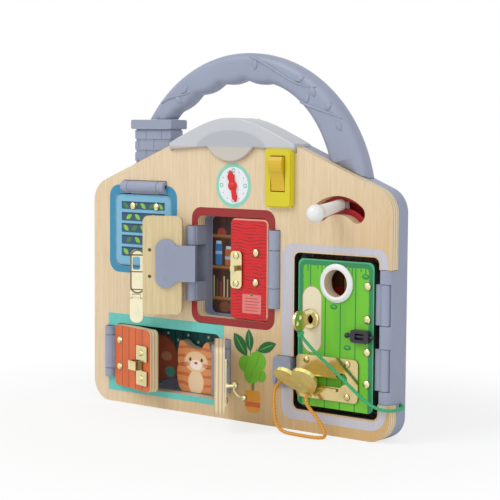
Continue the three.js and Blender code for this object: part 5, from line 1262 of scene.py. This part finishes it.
def pot_plant():
    """A plain pot plant printed beside the gate: round leaves, long leaves and an orange pot."""
    deep = ink("ink_plant_deep", (38, 104, 62))
    light = ink("ink_plant_light", (112, 190, 58))
    stem = ink("ink_stem", (122, 136, 62))
    amber = ink("ink_pot", (228, 158, 52))
    clay = ink("ink_pot_band", (214, 104, 44))
    print_area("pot", [rounded(15.0, 30.0, 8.4, 26.0, (5, 2.4, 2.4, 5))], amber)
    print_area("pot_band", [rounded(15.0, 30.0, 13.0, 17.0, 0.4)], clay, lift=PRINT_LIFT * 2)
    for number, (x, top) in enumerate([(20.0, 58.0), (23.0, 50.0), (26.0, 60.0)]):
        foot = 22.5
        across = (x - foot) * 0.6
        print_area(f"plant_stem_{number + 1}", [[
            (foot + across * 0.4 - 0.5, 26.2), (foot + across * 0.4 + 0.5, 26.2), (x + 0.4, top), (x - 0.4, top)]], stem)
    for number, (x, z, length, width, tilt) in enumerate([
            (10.0, 62.0, 22.0, 11.0, 128), (19.0, 66.0, 18.0, 8.0, 96), (36.0, 62.0, 20.0, 8.6, 22)]):
        print_area(f"plant_leaf_{number + 1}", [pointed_leaf(x, z, length, width, tilt)], deep, lift=PRINT_LIFT * 2)
        rib = pointed_leaf(x, z, length * 0.8, 0.7, tilt)
        print_area(f"plant_rib_{number + 1}", [rib], light, lift=PRINT_LIFT * 3)
    for number, (x, z, size) in enumerate([(16.0, 47.0, 7.6), (27.0, 50.0, 8.6), (21.0, 38.0, 7.0), (30.0, 39.0, 5.6)]):
        print_area(f"plant_round_{number + 1}", [disc(x, z, size, 0.92)], light, lift=PRINT_LIFT * (2 + 0.5 * number))
        print_area(f"plant_vein_{number + 1}", [pointed_leaf(x, z, size * 1.5, 0.6, 70)], stem, lift=PRINT_LIFT * 4)


def studio():
    """White all round for the camera and for gloss, and a soft even light on the object."""
    world = bpy.data.worlds.new("studio")
    world.use_nodes = True
    bpy.context.scene.world = world
    nodes, links = world.node_tree.nodes, world.node_tree.links
    nodes.clear()
    light = nodes.new("ShaderNodeBackground")
    light.inputs["Color"].default_value = (1.0, 1.0, 1.0, 1.0)
    light.inputs["Strength"].default_value = 0.6
    seen = nodes.new("ShaderNodeBackground")
    seen.inputs["Color"].default_value = (1.0, 1.0, 1.0, 1.0)
    seen.inputs["Strength"].default_value = 1.0
    path = nodes.new("ShaderNodeLightPath")
    share = path.outputs["Is Camera Ray"]
    for ray in ("Is Glossy Ray", "Is Transmission Ray"):
        either = nodes.new("ShaderNodeMath")
        either.operation = "MAXIMUM"
        links.new(share, either.inputs[0])
        links.new(path.outputs[ray], either.inputs[1])
        share = either.outputs[0]
    mix = nodes.new("ShaderNodeMixShader")
    out = nodes.new("ShaderNodeOutputWorld")
    links.new(share, mix.inputs[0])
    links.new(light.outputs[0], mix.inputs[1])
    links.new(seen.outputs[0], mix.inputs[2])
    links.new(mix.outputs[0], out.inputs[0])


def lamp(name, place, target, size, power):
    data = bpy.data.lights.new(name, "AREA")
    data.shape = "SQUARE"
    data.size = size
    data.energy = power
    obj = bpy.data.objects.new(name, data)
    bpy.context.scene.collection.objects.link(obj)
    obj.location = place
    obj.rotation_euler = (Vector(target) - Vector(place)).to_track_quat("-Z", "Y").to_euler()


def floor():
    """White floor: it keeps the object's shadow near by and runs out into the white background."""
    graph = Graph("floor")
    where = graph.place()
    drift = graph.noise(where, 0.002, 2.0)
    tint = graph.mix(drift, (0.93, 0.93, 0.93, 1.0), (0.96, 0.96, 0.96, 1.0))
    material = graph.finish(tint, 0.9)
    distance = graph.vector("LENGTH", where, output=1)
    far = graph.step(distance, 170.0, 380.0)
    path = graph.nodes.new("ShaderNodeLightPath")
    glow = graph.nodes.new("ShaderNodeEmission")
    glow.inputs["Color"].default_value = (1.0, 1.0, 1.0, 1.0)
    glow.inputs["Strength"].default_value = 1.0
    share = graph.math("MULTIPLY", graph.math("MULTIPLY_ADD", far, 0.28, 0.72), path.outputs["Is Camera Ray"])
    mix = graph.nodes.new("ShaderNodeMixShader")
    graph.links.new(share, mix.inputs[0])
    graph.links.new(graph.surface.outputs[0], mix.inputs[1])
    graph.links.new(glow.outputs[0], mix.inputs[2])
    graph.links.new(mix.outputs[0], graph.nodes["Material Output"].inputs["Surface"])
    half = 6.0
    mesh = bpy.data.meshes.new("floor")
    mesh.from_pydata([(-half, -half, 0), (half, -half, 0), (half, half, 0), (-half, half, 0)], [], [(0, 1, 2, 3)])
    mesh.materials.append(material)
    obj = bpy.data.objects.new("floor", mesh)
    bpy.context.scene.collection.objects.link(obj)


place_camera()
lay_cord("key_cord", KEY_CORD_ROUTE, KEY_CORD_RADIUS, (56, 172, 112), [((79.6, -28.4, 78.2), 2.4)])
lay_cord("heart_cord", HEART_CORD_ROUTE, HEART_CORD_RADIUS, (226, 158, 58))
dress_nodes()
moulded_case()
vines(carry_handle())
lamp_cap()
lever()
lever_back()
gate_gap_shade()
leaf_details()
opening_frames()
pictures()
clock_face()
shutter_leaves()
note()
pot_plant()
studio()
floor()
lamp("key_light", (-0.6, -1.3, 1.5), (0, 0, 0.12), 1.1, 14.5)
lamp("fill_light", (1.5, -1.0, 0.9), (0, 0, 0.12), 1.2, 6)
bpy.context.scene.view_settings.view_transform = "Standard"
